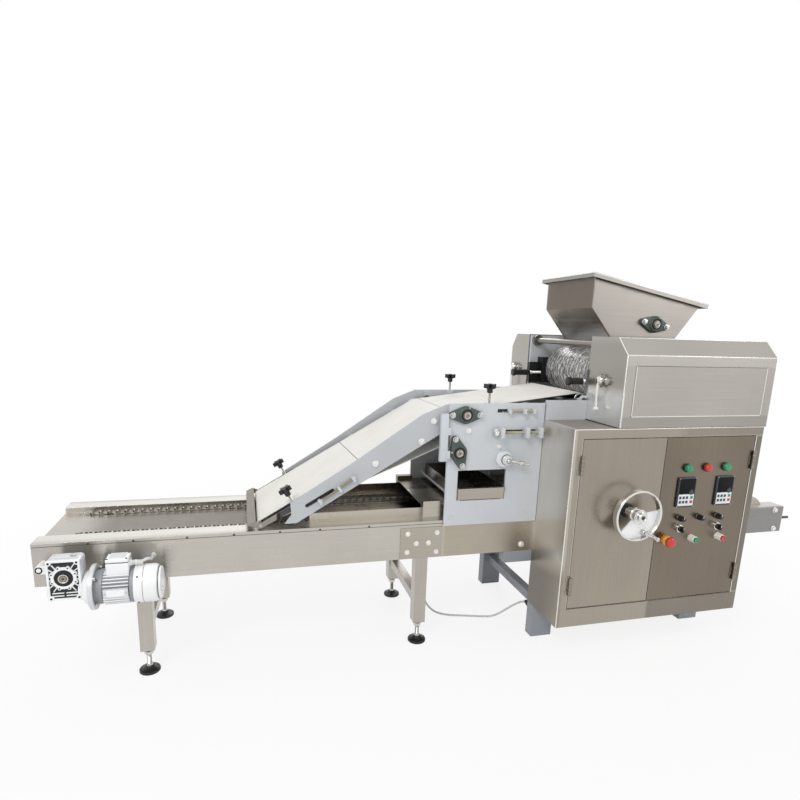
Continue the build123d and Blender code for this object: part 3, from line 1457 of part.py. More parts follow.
arm_front = (front + incline_thick, front + 2 * incline_thick)
arm_back = (back - 2 * incline_thick, back - incline_thick)
crest_front = (front, front + incline_thick)
crest_back = (back - incline_thick, back)
bar_low = 14.0
with BuildPart() as belt_bed:
    # Lower bed with its bars between the inclined plates
    strip(incline_run, 30, incline_length - 30, belt_gap, belt_gap + bed_sheet, belt_front + 4, belt_back - 4)
    for d in (130.0, 380.0, 560.0):
        strip(incline_run, d, d + bed_bar, belt_gap + bed_sheet, belt_gap + bed_sheet + bar_low,
              front + incline_thick, back - incline_thick)
    arm_plate(*arm_front)
    arm_plate(*arm_back)
    tip = nose_x - nose_radius - belt_thick - nose_plate_reach
    prism(((tip, nose_height + 3), (tip + 4, nose_height + 3), (tip + 26, nose_height + 14),
           (tip + 22, nose_height + 14)), arm_front[1], arm_back[0])
    lower_lug(front + incline_thick, front + incline_thick + lug_depth, lower_front_y)
    lower_lug(back - incline_thick - lug_depth, back - incline_thick, lower_back_y)
    # Bend bar, upper bed with its bars between the side plates and an arm to the crest roller
    rod_y(bend_x, front + incline_thick, back - incline_thick, bend_height, bend_radius)
    strip(crest_run, 90, crest_length - 25, belt_gap, belt_gap + bed_sheet, belt_front + 4, belt_back - 4)
    for d in (268.0, 388.0):
        strip(crest_run, d, d + bed_bar, belt_gap + bed_sheet, belt_gap + bed_sheet + bar_low, front, back)
    for y0, y1 in (crest_front, crest_back):
        prism((along(crest_run, 188, 8), along(crest_run, 188, 30), (crest_x, crest_height - 12),
               (crest_x, crest_height + 8)), y0, y1)
        rod_y(crest_x, y0, y1, crest_height, arm_boss_radius)
        rod_y(crest_x, y0, y1, crest_height, crest_shaft_radius + run_fit, Mode.SUBTRACT)
keep(belt_bed.part, "belt_bed")

# Four lobed knobs on studs
def lobed_knob(x, y, z, up):
    base = stud_plane(x, y, z, up)
    with BuildPart() as knob:
        with BuildSketch(base.offset(-knob_stud_bite)):
            Circle(knob_stud_radius)
        extrude(amount=knob_stud_bite + knob_stud_length)
        with BuildSketch(base.offset(knob_stud_length - knob_neck_height / 2)):
            Circle(knob_neck_radius)
        extrude(amount=knob_neck_height)
        with BuildSketch(base.offset(knob_stud_length + knob_neck_height / 2)):
            Circle(knob_lobe_circle)
            with PolarLocations(knob_lobe_circle, knob_lobes):
                Circle(knob_lobe_radius)
        extrude(amount=knob_height)
    return knob.part


vertical = (0, 0, 1)
keep(lobed_knob(upper_x, upper_front_y, plate_top, vertical), "upper_knob_front")
keep(lobed_knob(upper_x, upper_back_y, plate_top, vertical), "upper_knob_back")
keep(lobed_knob(lower_x, lower_front_y, lower_z, stud_up), "lower_knob_front")
keep(lobed_knob(lower_x, lower_back_y, lower_z, stud_up), "lower_knob_back")

# Inclined plates: foot just over the beam, raised edge beside the belt, adjuster slot
incline_outline = [
    (x_at(incline_foot_start), incline_foot), (x_at(incline_foot_end), incline_foot),
    (x_at(incline_end_station), incline_end_low), (x_at(incline_end_station), incline_end_high),
]
incline_outline += [(nose_x + dx, conveyor_top + dz) for dx, dz in reversed(incline_top)]
incline_outline.append((x_at(incline_foot_start) + incline_heel[0], conveyor_top + incline_heel[1]))
slot_middle = (x_at(slot_station), slot_height)
slot_turn = math.degrees(incline_heading) + 180


with BuildPart() as incline_plates:
    for y0, y1 in ((front, front + incline_thick), (back - incline_thick, back)):
        prism(incline_outline, y0, y1)
        with BuildSketch(Plane.XZ.offset(-y0)) as slot:
            with Locations(slot_middle):
                SlotCenterToCenter(slot_length, slot_width, rotation=slot_turn)
        extrude(slot.sketch, amount=-incline_thick, mode=Mode.SUBTRACT)
keep(incline_plates.part, "incline_plates")

# Upright side plates with bearing holes, window, slot and knob lug
drawer_left = x_at(window_start) + drawer_gap
drawer_right = x_at(window_end) - drawer_gap
drawer_bottom = window_bottom + drawer_gap
cam_x = x_at(cam_station)


def side_plate(y0, y1, lug_y0, lug_y1):
    block(plate_left, plate_right, y0, y1, plate_bottom, plate_top)
    block(x_at(window_start), x_at(window_end), y0, y1, window_bottom, window_top, Mode.SUBTRACT)
    rod_y(kink_x, y0, y1, kink_height, belt_shaft_radius + 4, Mode.SUBTRACT)
    rod_y(return_x, y0, y1, return_height, belt_shaft_radius + 4, Mode.SUBTRACT)
    slot_left = plate_left + plate_slot_offset
    slot_low = plate_top - adjuster_drop - plate_slot_height / 2
    block(slot_left, slot_left + plate_slot_length, y0, y1, slot_low, slot_low + plate_slot_height,
          Mode.SUBTRACT)
    block(upper_x - lug_width / 2, upper_x + lug_width / 2, lug_y0, lug_y1, plate_top - lug_height, plate_top)
    stud_hole(upper_x, (lug_y0 + lug_y1) / 2, plate_top, vertical)


with BuildPart() as front_side_plate:
    side_plate(plate_front, front, front, front + lug_depth)
    rod_y(cam_x, plate_front, front, cam_height, cam_pivot_radius + run_fit, Mode.SUBTRACT)
    # Runners that carry the crumb drawer across to the back plate
    for x0 in (drawer_left, drawer_right - runner):
        block(x0, x0 + runner, front, back, drawer_bottom - runner, drawer_bottom - 0.2)
        block(x0, x0 + runner, plate_front, front, drawer_bottom - runner, drawer_bottom - 0.2)
keep(front_side_plate.part, "front_side_plate")

with BuildPart() as back_side_plate:
    side_plate(back, plate_back, back - lug_depth, back)
    block(x_at(window_start), x_at(window_end), back, plate_back, window_bottom - 2 * runner, window_top)
keep(back_side_plate.part, "back_side_plate")

with BuildPart() as crumb_drawer:
    drawer_front = front - plate_thick - 2
    block(drawer_left, drawer_right, drawer_front, drawer_front + drawer_length, drawer_bottom,
          drawer_bottom + drawer_height)
    block(drawer_left + drawer_sheet, drawer_right - drawer_sheet, drawer_front + drawer_sheet,
          drawer_front + drawer_length - drawer_sheet, drawer_bottom + drawer_sheet,
          drawer_bottom + drawer_height, Mode.SUBTRACT)
    block(drawer_left, drawer_right, drawer_front - 12, drawer_front, drawer_bottom + drawer_height - 3,
          drawer_bottom + drawer_height)
keep(crumb_drawer.part, "crumb_drawer")

# Belt tension screw with its lobed knob, in blocks on the front plate
tension_y = plate_front - tension_depth / 2
knob_x = x_at(tension_knob_station)
with BuildPart() as tension_knob:
    rod_x(knob_x, plate_right - 1, tension_y, tension_height, tension_rod_radius)
    rod_x(knob_x - 4, knob_x + 14, tension_y, tension_height, 9)
    with BuildSketch(Plane.YZ.offset(knob_x - 4)):
        with Locations((tension_y, tension_height)):
            with PolarLocations(10, 3, 90):
                Circle(5)
            with PolarLocations(5, 3, 90):
                Circle(5)
    extrude(amount=10)
keep(tension_knob.part, "tension_knob")

# Cam lever on the front plate
with BuildPart() as cam_lever:
    cam_front = plate_front - 14
    bar_angle = math.radians(cam_bar_angle)
    hub_x = cam_x + cam_offset_x
    hub_z = cam_height + cam_offset_z
    rod_y(cam_x, plate_front, front + 10, cam_height, cam_pivot_radius)
    rod_y(cam_x, cam_front, plate_front, cam_height, cam_radius)
    rod_y(hub_x, cam_front - 18, cam_front, hub_z, cam_hub_radius)
    bar_plane = Plane(origin=(hub_x, cam_front - 10, hub_z),
                      x_dir=(0, 1, 0), z_dir=(math.cos(bar_angle), 0, math.sin(bar_angle)))
    with BuildSketch(bar_plane):
        Circle(cam_bar_radius)
    extrude(amount=cam_bar_length)
    with Locations(bar_plane.offset(cam_bar_length * 0.65).location):
        Sphere(2 * cam_bar_radius)
keep(cam_lever.part, "cam_lever")


# Fixed take-up hardware: blocks, adjuster rods, post bar and tail rods
def adjuster(points, y, outward, rod_radius):
    """A screw between two points, with a block at each end, on a plate's outer face."""
    (x0, z0), (x1, z1) = points
    heading = math.atan2(z1 - z0, x1 - x0)
    length = math.hypot(x1 - x0, z1 - z0)
    plane = Plane(origin=(x0, y + outward * 8, z0), x_dir=(0, 1, 0),
                  z_dir=(math.cos(heading), 0, math.sin(heading)))
    with BuildSketch(plane) as rod:
        Circle(rod_radius)
    extrude(rod.sketch, amount=length)
    for distance, tall in ((0.0, 18), (length * 0.55, 34), (length - 6, 24)):
        with BuildSketch(plane.offset(distance)) as end:
            Rectangle(16, tall)
        extrude(end.sketch, amount=9)


with BuildPart() as take_ups:
    for y, outward in ((front, -1), (back, 1)):
        ends = [(slot_middle[0] + dx, slot_middle[1] + dz) for dx, dz in incline_adjuster]
        adjuster(ends, y, outward, adjuster_radius)
    adjuster_x = plate_left + adjuster_offset
    adjuster_z = plate_top - adjuster_drop
    for y, outward in ((plate_front, -1), (plate_back, 1)):
        adjuster(((adjuster_x, adjuster_z), (adjuster_x + adjuster_length, adjuster_z)), y, outward,
                 adjuster_radius)
    for offset in tension_offsets:
        block_x = plate_left + offset
        block(block_x - tension_block / 2, block_x + tension_block / 2,
              plate_front - tension_depth, plate_front, tension_height - tension_block_tall / 2,
              tension_height + tension_block_tall / 2)
        rod_x(block_x - tension_block / 2, block_x + tension_block / 2, tension_y,
              tension_height, tension_rod_radius + run_fit, Mode.SUBTRACT)
    # Post bar at the joint of the plates, tied to the side plate
    post_x = x_at(post_station)
    for y0, y1 in ((plate_front - post_bar_depth, plate_front), (plate_back, plate_back + post_bar_depth)):
        block(post_x, post_x + post_bar_width, y0, y1, post_bar_bottom, post_bar_top)
        block(post_x + post_bar_width - 3, plate_left + 5, y0, y1, post_bar_top - 74, post_bar_top - 44)
        block(post_x + post_bar_width - 3, plate_left + 5, y0, y1, post_bar_bottom + 40, post_bar_bottom + 72)
    for y in (front + take_up_inset, back - take_up_inset):
        rod_x(x_right, x_right + take_up_reach, y, take_up_height, take_up_radius)
        hex_x(x_right + 6, x_right + 14, y, take_up_height, 17)
keep(take_ups.part, "take_ups")

# Tray tunnel: raised cover on two walls, guides ahead of it and end blocks
with BuildPart() as tray_tunnel:
    tunnel_front = front + tunnel_inset
    tunnel_back = back - tunnel_inset
    block(x_at(tunnel_start), x_at(tunnel_end), tunnel_front, tunnel_back, conveyor_top, tunnel_top)
    block(x_at(tunnel_start), x_at(tunnel_end), tunnel_front + tunnel_sheet, tunnel_back - tunnel_sheet,
          conveyor_top, tunnel_top - tunnel_sheet, Mode.SUBTRACT)
    for y0, y1 in ((front + guide_inset, front + guide_inset + 2),
                   (back - guide_inset - 2, back - guide_inset)):
        block(x_at(guide_start), x_at(tunnel_start), y0, y1, conveyor_top, guide_top)
    for y0, y1 in ((tunnel_front - 2, tunnel_front + end_block_depth),
                   (tunnel_back - end_block_depth, tunnel_back + 2)):
        block(x_at(tunnel_start), x_at(tunnel_start) + end_block_length, y0, y1, conveyor_top, end_block_top)
keep(tray_tunnel.part, "tray_tunnel")

# Fasteners: hinge pins, splice plates with bolts, cover screws, plate bolts
splice_left = x_at(splice_station)
with BuildPart() as fasteners:
    for x in (door_left, door_right):
        for z in hinge_heights:
            rod_z(x, hinge_y, z - hinge_length / 2, z + hinge_length / 2, hinge_pin_radius)
    for y, out in ((front, -1), (back, 1)):
        splice_face = y + out * splice_sheet
        block(splice_left, splice_left + splice_length, y, splice_face, conveyor_bottom + 2, conveyor_top - 20)
        for dx, dz in splice_bolts:
            hex_y(splice_left + dx, conveyor_bottom + dz, splice_face, splice_face + out * (bolt_height - 1),
                  bolt_across - 1)
        for station in strip_screws:
            rod_y(x_at(station), y, y + out * 3, conveyor_top - strip_drop, strip_screw_radius)
        beam_heads = [(x_at(beam_bolt[0]), conveyor_bottom + beam_bolt[1])]
        beam_heads += [(x_right + dx, conveyor_bottom + dz) for dx, dz in end_bolts]
        for x, z in beam_heads:
            hex_y(x, z, y, y + out * bolt_height, bolt_across - 1)
        for dx, dz in incline_bolts:
            hex_y(x_at(incline_end_station) + dx, incline_end_low + dz, y, y + out * bolt_height, bolt_across)
    plate_heads = [(plate_left + dx, plate_top + dz) for dx, dz in plate_high_bolts]
    plate_heads += [(plate_left + dx, plate_bottom + dz) for dx, dz in plate_low_bolts]
    for y, out in ((plate_front, -1), (plate_back, 1)):
        for x, z in plate_heads:
            hex_y(x, z, y, y + out * bolt_height, bolt_across)
keep(fasteners.part, "fasteners")
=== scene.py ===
# Biscuit moulding machine with tray conveyor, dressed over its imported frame
import json
import math

import bmesh
import bpy
from mathutils import Matrix, Vector, noise


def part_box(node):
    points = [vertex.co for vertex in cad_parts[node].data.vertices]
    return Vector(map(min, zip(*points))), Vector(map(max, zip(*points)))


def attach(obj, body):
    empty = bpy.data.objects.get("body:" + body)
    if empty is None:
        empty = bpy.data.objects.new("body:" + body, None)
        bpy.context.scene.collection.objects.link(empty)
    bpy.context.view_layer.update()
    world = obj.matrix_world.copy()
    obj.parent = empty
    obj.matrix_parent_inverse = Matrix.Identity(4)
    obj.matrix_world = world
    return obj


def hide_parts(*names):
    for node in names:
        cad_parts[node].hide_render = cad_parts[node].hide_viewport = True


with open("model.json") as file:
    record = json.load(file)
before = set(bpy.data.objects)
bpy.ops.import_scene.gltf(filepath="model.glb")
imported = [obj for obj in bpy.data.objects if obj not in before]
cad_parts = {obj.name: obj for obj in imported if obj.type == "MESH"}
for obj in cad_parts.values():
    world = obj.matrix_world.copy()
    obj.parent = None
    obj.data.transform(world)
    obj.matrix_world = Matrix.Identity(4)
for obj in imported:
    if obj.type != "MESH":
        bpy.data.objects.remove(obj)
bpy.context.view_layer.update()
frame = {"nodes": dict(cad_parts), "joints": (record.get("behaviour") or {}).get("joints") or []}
scene = bpy.context.scene
scene.view_settings.view_transform = "Standard"

MM = 0.001
UP = Vector((0, 0, 1))
RIGHT = Vector((1, 0, 0))
LEFT = Vector((-1, 0, 0))
FRONT = Vector((0, -1, 0))
BACK = Vector((0, 1, 0))
joint_at = {joint["name"]: Vector(joint["pos_m"]) for joint in frame["joints"] if "pos_m" in joint}


# Camera at the photograph's viewing angle
photo_width = 800
focal_pixels = 561.998
sensor_width = 36.0
camera_place = Vector((-0.73799, -1.74676, 1.02909))
camera_yaw = math.radians(14.842)
camera_pitch = math.radians(12.361)
camera_roll = math.radians(-1.754)
camera = bpy.data.objects.new("camera", bpy.data.cameras.new("camera"))
scene.collection.objects.link(camera)
scene.camera = camera
camera.data.sensor_width = sensor_width
camera.data.lens = sensor_width * focal_pixels / photo_width
camera.data.shift_x = 0.0097
camera.data.shift_y = 0.0644
camera.data.clip_end = 200.0
ahead = Vector((math.sin(camera_yaw) * math.cos(camera_pitch),
                math.cos(camera_yaw) * math.cos(camera_pitch), -math.sin(camera_pitch)))
level = Vector((math.cos(camera_yaw), -math.sin(camera_yaw), 0.0))
below = ahead.cross(level)
across = math.cos(camera_roll) * level + math.sin(camera_roll) * below
down = math.cos(camera_roll) * below - math.sin(camera_roll) * level
camera_turn = Matrix((across, -down, -ahead)).transposed()
camera.matrix_world = Matrix.Translation(camera_place) @ camera_turn.to_4x4()


# Shader helpers
VECTOR = "NodeSocketVector"
FLOAT = "NodeSocketFloat"


def feed(tree, socket, value):
    """Links another node's output to a socket, or sets the socket's own value."""
    if isinstance(value, bpy.types.NodeSocket):
        tree.links.new(value, socket)
    else:
        socket.default_value = value


def node(tree, kind, *sources, **values):
    """A new node. The sources feed its first sockets in turn, the values its sockets or settings by name."""
    made = tree.nodes.new(kind)
    for key, value in values.items():
        label = key.replace("_", " ")
        if label in made.inputs:
            feed(tree, made.inputs[label], value)
        else:
            setattr(made, key, value)
    for socket, value in zip(made.inputs, sources):
        feed(tree, socket, value)
    return made


def result(tree, kind, *sources, **values):
    """The first output of a new node."""
    return node(tree, kind, *sources, **values).outputs[0]


def grain(tree, place, **values):
    return result(tree, "ShaderNodeTexNoise", place, **values)


def spanned(tree, source, low, high):
    """A value from nought to one, spread from low to high."""
    return result(tree, "ShaderNodeMapRange", source, To_Min=low, To_Max=high)


def stretched(tree, source, low, high):
    """A value from low to high, spread over the whole of nought to one."""
    return result(tree, "ShaderNodeMapRange", source, From_Min=low, From_Max=high)


def blended(tree, first, second, share, kind="FLOAT"):
    """Two values or two colours mixed by a share."""
    mix = node(tree, "ShaderNodeMix", share, data_type=kind)
    start, end = (2, 0) if kind == "FLOAT" else (6, 2)
    feed(tree, mix.inputs[start], first)
    feed(tree, mix.inputs[start + 1], second)
    return mix.outputs[end]


def marks_group(name, control, kind, fine, broad, smear, share, smear_span):
    """Surface marks that finishes share: a fine pattern, slow changes of tone and smears of gloss."""
    group = bpy.data.node_groups.new(name, "ShaderNodeTree")
    for label, socket in (("Place", VECTOR), (control, kind)):
        group.interface.new_socket(label, in_out="INPUT", socket_type=socket)
    for label in ("Tone", "Height", "Smear"):
        group.interface.new_socket(label, in_out="OUTPUT", socket_type=FLOAT)
    start = group.nodes.new("NodeGroupInput").outputs
    end = group.nodes.new("NodeGroupOutput").inputs
    place = start["Place"]
    if kind == VECTOR:
        pulled = result(group, "ShaderNodeVectorMath", place, start[control], operation="MULTIPLY")
        pattern = grain(group, pulled, Scale=1.0, **fine)
    else:
        pattern = grain(group, place, Scale=start[control], **fine)
    height = stretched(group, pattern, 0.3, 0.7)
    clouds = stretched(group, grain(group, place, **broad), 0.3, 0.7)
    feed(group, end["Tone"], blended(group, height, clouds, share))
    feed(group, end["Height"], height)
    feed(group, end["Smear"], stretched(group, grain(group, place, **smear), *smear_span))
    return group


# Fine lines from the brushing wheel, and the pebbled skin of paint, castings and plastic
brush_marks = marks_group("brush_marks", "Lines", VECTOR, dict(Detail=3.0, Roughness=0.6),
                          dict(Scale=2.6, Detail=1.5), dict(Scale=14.0, Detail=4.0, Roughness=0.65),
                          0.6, (0.35, 0.65))
cast_grain = marks_group("cast_grain", "Pebble", FLOAT, dict(Detail=2.0),
                         dict(Scale=7.0, Detail=3.0), dict(Scale=45.0, Detail=5.0, Roughness=0.7),
                         0.65, (0.38, 0.66))


def toned(code, share=1.0):
    """A screen colour as the renderer's own linear one, times a share."""
    parts = [int(code[i:i + 2], 16) / 255 for i in (0, 2, 4)]
    return [(c / 12.92 if c <= 0.04045 else ((c + 0.055) / 1.055) ** 2.4) * share for c in parts] + [1.0]


def painted_light_patches(tree, place, colour, clouds):
    """Painted light and shade: a colour made lighter or darker in broad patches, each with its middle, reach,
    softness and tint.
    """
    if not clouds:
        return colour
    total = (1.0, 1.0, 1.0)
    for middle, reach, soft, tint in clouds:
        local = result(tree, "ShaderNodeMapping", place, vector_type="TEXTURE", Location=middle, Scale=reach)
        size = result(tree, "ShaderNodeVectorMath", local, operation="ABSOLUTE")
        apart = node(tree, "ShaderNodeSeparateXYZ", size).outputs
        wider = result(tree, "ShaderNodeMath", apart["X"], apart["Y"], operation="MAXIMUM")
        widest = result(tree, "ShaderNodeMath", wider, apart["Z"], operation="MAXIMUM")
        patch = result(tree, "ShaderNodeMapRange", widest, interpolation_type="SMOOTHSTEP",
                       From_Min=1.0, From_Max=1.0 - soft)
        total = result(tree, "ShaderNodeVectorMath", patch, tint, total, operation="MULTIPLY_ADD")
    return result(tree, "ShaderNodeVectorMath", colour, total, operation="MULTIPLY")


def new_material(name, **values):
    """A material, its node tree and its surface's sockets, with constants set by name."""
    material = bpy.data.materials.new(name)
    material.use_nodes = True
    surface = material.node_tree.nodes["Principled BSDF"].inputs
    for key, value in values.items():
        surface[key.replace("_", " ")].default_value = value
    return material, material.node_tree, surface


def bumped(tree, surface, height, strength, deep, round_edge=0.0):
    """Relief in millimetres from a height pattern, over edges that may be rounded."""
    bump = node(tree, "ShaderNodeBump", Strength=strength, Distance=deep * MM, Height=height)
    if round_edge:
        feed(tree, bump.inputs["Normal"], result(tree, "ShaderNodeBevel", Radius=round_edge * MM, samples=4))
    feed(tree, surface["Normal"], bump.outputs[0])


def finish(name, code, rough, metal=0.0, lines=None, pebble=900.0, spread=0.1, gloss=0.06,
           relief=0.012, round_edge=0.0, coat=0.0, clouds=(), **constants):
    """A surface finish: its colour and gloss vary with brushing lines or cast grain, and its colour may take
    broad patches of painted light and shade.
    """
    material, tree, surface = new_material(name, Metallic=metal, Coat_Weight=coat, Coat_Roughness=0.12,
                                           **constants)
    place = node(tree, "ShaderNodeTexCoord").outputs["Object"]
    if lines:
        marks = node(tree, "ShaderNodeGroup", node_tree=brush_marks, Place=place, Lines=lines).outputs
    else:
        marks = node(tree, "ShaderNodeGroup", node_tree=cast_grain, Place=place, Pebble=pebble).outputs
    tone = blended(tree, toned(code, 1 - spread), toned(code, 1 + spread), marks["Tone"], "RGBA")
    feed(tree, surface["Base Color"], painted_light_patches(tree, place, tone, clouds))
    feed(tree, surface["Roughness"], spanned(tree, marks["Smear"], max(rough - gloss, 0.03), rough + gloss))
    bumped(tree, surface, marks["Height"], 0.5, relief, round_edge)
    return material


def brushed(name, code, rough, lines, metal=1.0, **more):
    """Brushed sheet or tube with softened edges."""
    return finish("brushed_" + name, code, rough, metal, lines, round_edge=0.8, **more)


def painted(name, code, rough=0.4, spread=0.05, round_edge=0.8, clouds=()):
    return finish("light_grey_" + name + "_paint", code, rough, pebble=700, spread=spread,
                  round_edge=round_edge, clouds=clouds)


def even(strength):
    return (strength, strength, strength)


# Finishes, with brushing lines as marks per metre along each axis
ALONG_X = (5.0, 420.0, 420.0)
ALONG_Z = (420.0, 420.0, 5.0)
AROUND_Y = (6.0, 500.0, 6.0)
AROUND_X = (500.0, 6.0, 6.0)
# Patches of painted light and shade on the finishes, each with its middle, reach, softness and tint
beam_painted_light = (
    ((-0.25, 0.045, 0.4125), (1.0, 0.106, 0.006), 0.12, (-0.53, -0.55, -0.58)),  # painted reflection darkening the trough floor
    ((0.05, 0.066, 0.4125), (0.95, 0.128, 0.006), 0.45, (-0.3, -0.31, -0.32)),  # painted shade on the floor under the belt
    ((-0.55, 0.066, 0.431), (1.0, 0.2, 0.0022), 0.2, (0.46, 0.5, 0.55)),  # painted highlight on the flange tops
    ((1.11, -0.124, 0.36), (0.151, 0.01, 0.08), 0.05, (-0.48, -0.46, -0.42)),  # painted shade on the side of the tail
    ((1.11, 0.066, 0.4045), (0.152, 0.2, 0.004), 0.1, (0.12, 0.14, 0.17)),  # painted highlight on the top of the tail
    ((0.03, -0.124, 0.37), (0.165, 0.006, 0.075), 0.1, (-0.16, -0.2, -0.28)))  # painted shade on the beam beside the cabinet
# Painted shade over the far side of the tray tunnel
tunnel_painted_shade = (((-0.1, 0.20, 0.46), (0.6, 0.12, 0.06), 0.1, (-0.58, -0.62, -0.66)),)
shell_painted_light = (
    ((0.195, 0.05, 0.56), (0.012, 0.42, 0.27), 0.35, (1.02, 1.16, 1.38)),  # painted reflection, paler and bluer, on the upper left side
    ((0.195, 0.0, 0.19), (0.012, 0.4, 0.12), 0.5, even(-0.46)),  # painted shade on the foot of the left side
    ((0.72, -0.312, 0.142), (0.2, 0.01, 0.036), 0.06, even(-0.34)),  # painted shade on the strip under the right door
    ((0.888, -0.312, 0.452), (0.028, 0.01, 0.274), 0.02, even(-0.41)),  # painted shade on the strip beside it
    ((0.80, -0.312, 0.748), (0.26, 0.01, 0.022), 0.3, even(-0.2)))  # painted shade on the strip over it
housing_painted_light = (
    ((0.344, -0.2, 0.79), (0.006, 0.16, 0.09), 0.5, (0.95, 1.05, 1.2)),  # painted highlight on the end, lower
    ((0.344, -0.2, 0.95), (0.006, 0.2, 0.09), 0.5, even(-0.22)),  # painted shade on the end, upper
    ((0.62, -0.3128, 0.765), (0.4, 0.004, 0.03), 0.3, even(-0.18)),  # painted shade on the band under the inset
    ((0.62, -0.3128, 0.958), (0.4, 0.004, 0.018), 0.3, even(0.12)))  # painted highlight on the band over it
# Painted shade inside the crumb drawer
drawer_painted_shade = (((-0.01, 0.045, 0.52), (0.2, 0.176, 0.06), 0.03, even(-0.75)),)
hopper_left = (0.40, 0.06)
hopper_painted_light = (
    ((*hopper_left, 1.09), (0.085, 0.1455, 0.118), 0.03, (-0.52, -0.565, -0.6)),  # painted shade on the left face
    *(((*hopper_left, top - 0.1), (0.085, 0.1455, 0.1), 0.1, (0.3, 0.33, 0.37))
      for top in (1.085, 1.07, 1.055, 1.04)))  # painted light, paler down its slope
bed_painted_shade = (
    ((0.06, 0.066, 0.815), (0.26, 0.202, 0.035), 0.06, even(-0.92)),  # painted shade under the belt
    ((-0.70, 0.066, 0.455), (0.055, 0.2, 0.04), 0.1, (-0.62, -0.68, -0.75)),  # painted shade on the nose
    *(((-0.54, y, 0.54), (0.12, 0.011, 0.1), 0.08, even(-0.92)) for y in (-0.112, 0.244)))  # painted shade in the slots
block_clouds = (((0.36, -0.13, 0.86), (0.12, 0.03, 0.12), 0.05, even(12.0)),)

beam_sheet = brushed("beam_sheet", "c2bdb5", 0.3, ALONG_X, clouds=beam_painted_light)
tunnel_sheet = brushed("tunnel_sheet", "b9b3a8", 0.3, ALONG_X, spread=0.12, clouds=tunnel_painted_shade)
leg_tube = brushed("leg_tube", "b9b4ac", 0.32, ALONG_Z, spread=0.12)
shell_sheet = brushed("cabinet_shell", "a29a8e", 0.32, ALONG_Z, 0.8, gloss=0.03, relief=0.008,
                      clouds=shell_painted_light)
# The doors are the cabinet's stainless, darker as painted reflection: the right door much darker, the left a
# little
left_sheet = brushed("left_door", "9f968a", 0.3, ALONG_Z, spread=0.14)
right_sheet = brushed("right_door", "7e7468", 0.3, ALONG_Z, spread=0.14)
housing_sheet = brushed("housing", "b0aca5", 0.32, ALONG_X, 0.9, gloss=0.03, relief=0.008,
                        clouds=housing_painted_light)
drawer_sheet = brushed("drawer_sheet", "b3aca1", 0.24, ALONG_X, spread=0.12, clouds=drawer_painted_shade)
hopper_sheet = brushed("hopper", "a09b95", 0.34, ALONG_X, spread=0.14, clouds=hopper_painted_light)
splice_sheet = finish("brushed_splice_plate", "b4ada2", 0.3, 1.0, ALONG_X)
# The main frame's paint is the plates' grey made darker: painted shade
shaded_frame_paint = painted("frame", "959aa1", 0.42, 0.06)
plate_paint = painted("plate", "c8ccd0", round_edge=1.0)
incline_paint = painted("incline", "b9bcbf")
bed_paint = painted("bed", "c8ccd0", round_edge=1.0, clouds=bed_painted_shade)
# Pale finish for folded edges, rims and seam strips: painted highlight
painted_highlight = finish("painted_highlight_on_folds", "eceae6", 0.3, 0.5, pebble=700, spread=0.06)
roller_steel = finish("turned_roller_steel", "b8b5b0", 0.25, 1.0, AROUND_Y, spread=0.12)
screw_steel = finish("bright_screw_steel", "c9c8c5", 0.22, 1.0, pebble=1500)
# Dark steel for screws, pins and threads, and also for thin dark rings and strips of painted shade
dark_steel_and_shade = finish("dark_steel_and_painted_shade", "5d5a56", 0.34, 1.0, pebble=500, spread=0.25)
chrome = finish("polished_steel", "dedddb", 0.12, 1.0, pebble=300, spread=0.05, gloss=0.05)
screw_pale = finish("yellowed_adjuster_steel", "b8b09a", 0.34, 0.7, AROUND_X, spread=0.14)
bolt_bright = finish("bright_bolt_heads", "e9e7e3", 0.3, 0.5, spread=0.08)
race_steel = finish("dull_bearing_steel", "a79c8e", 0.34, 1.0, pebble=600, spread=0.16)
chain_steel = finish("dull_chain_plates", "c6c2bb", 0.36, 1.0, pebble=500, spread=0.15)
# A darker copy of the chain plates' steel: painted shade on alternate chain links, and the darker steel of
# the tie rod and hinge barrels
chain_shaded = finish("shaded_chain_plates", "8d8981", 0.36, 1.0, pebble=500, spread=0.2)
black_steel = finish("blacked_steel", "232426", 0.4, 0.5, pebble=600, spread=0.2, relief=0.06,
                     clouds=block_clouds)
cast_green = finish("dark_green_cast_iron", "4d5853", 0.5, 0.2, pebble=420, spread=0.16, relief=0.12)
alloy = finish("silver_painted_alloy", "dcdee0", 0.36, 0.3, pebble=380, spread=0.07, relief=0.1)
alloy_pale = finish("pale_grey_motor_paint", "f3f4f5", 0.36, 0.1, pebble=420, spread=0.06, relief=0.08)
# The motor's core between its fins, darker than the fins: painted shade
motor_core_painted_shade = finish("shaded_motor_core", "94979a", 0.5, 0.2, pebble=420, relief=0.1)
# Near-black finish for holes, gaps, slots and recesses: painted shade
painted_shade_grey = finish("painted_shade_in_recesses", "2b2d2f", 0.55, 0.2, pebble=420, spread=0.2, relief=0.1)
black_plastic = finish("black_moulded_plastic", "151517", 0.36, pebble=800, spread=0.2, relief=0.05)
black_rubber = finish("black_rubber", "222223", 0.6, pebble=700, spread=0.18, relief=0.08)
roller_rubber = finish("pale_roller_rubber", "cfc9bd", 0.55, pebble=500, spread=0.06, relief=0.06)
panel_slate = finish("slate_keypad_frame", "383d48", 0.4, spread=0.12)
panel_black = finish("black_display_window", "08090a", 0.5, pebble=300, spread=0.2, gloss=0.05,
                     Specular_IOR_Level=0.15)
keypad_white = finish("white_keypad", "dfe2e2", 0.4, spread=0.04)
lens_green = finish("green_lens", "128a5c", 0.16, pebble=250, spread=0.16, coat=0.5)
lens_red = finish("red_lens", "c0261d", 0.16, pebble=250, spread=0.16, coat=0.5)
cap_orange = finish("orange_collar", "d98a2b", 0.35, pebble=600)
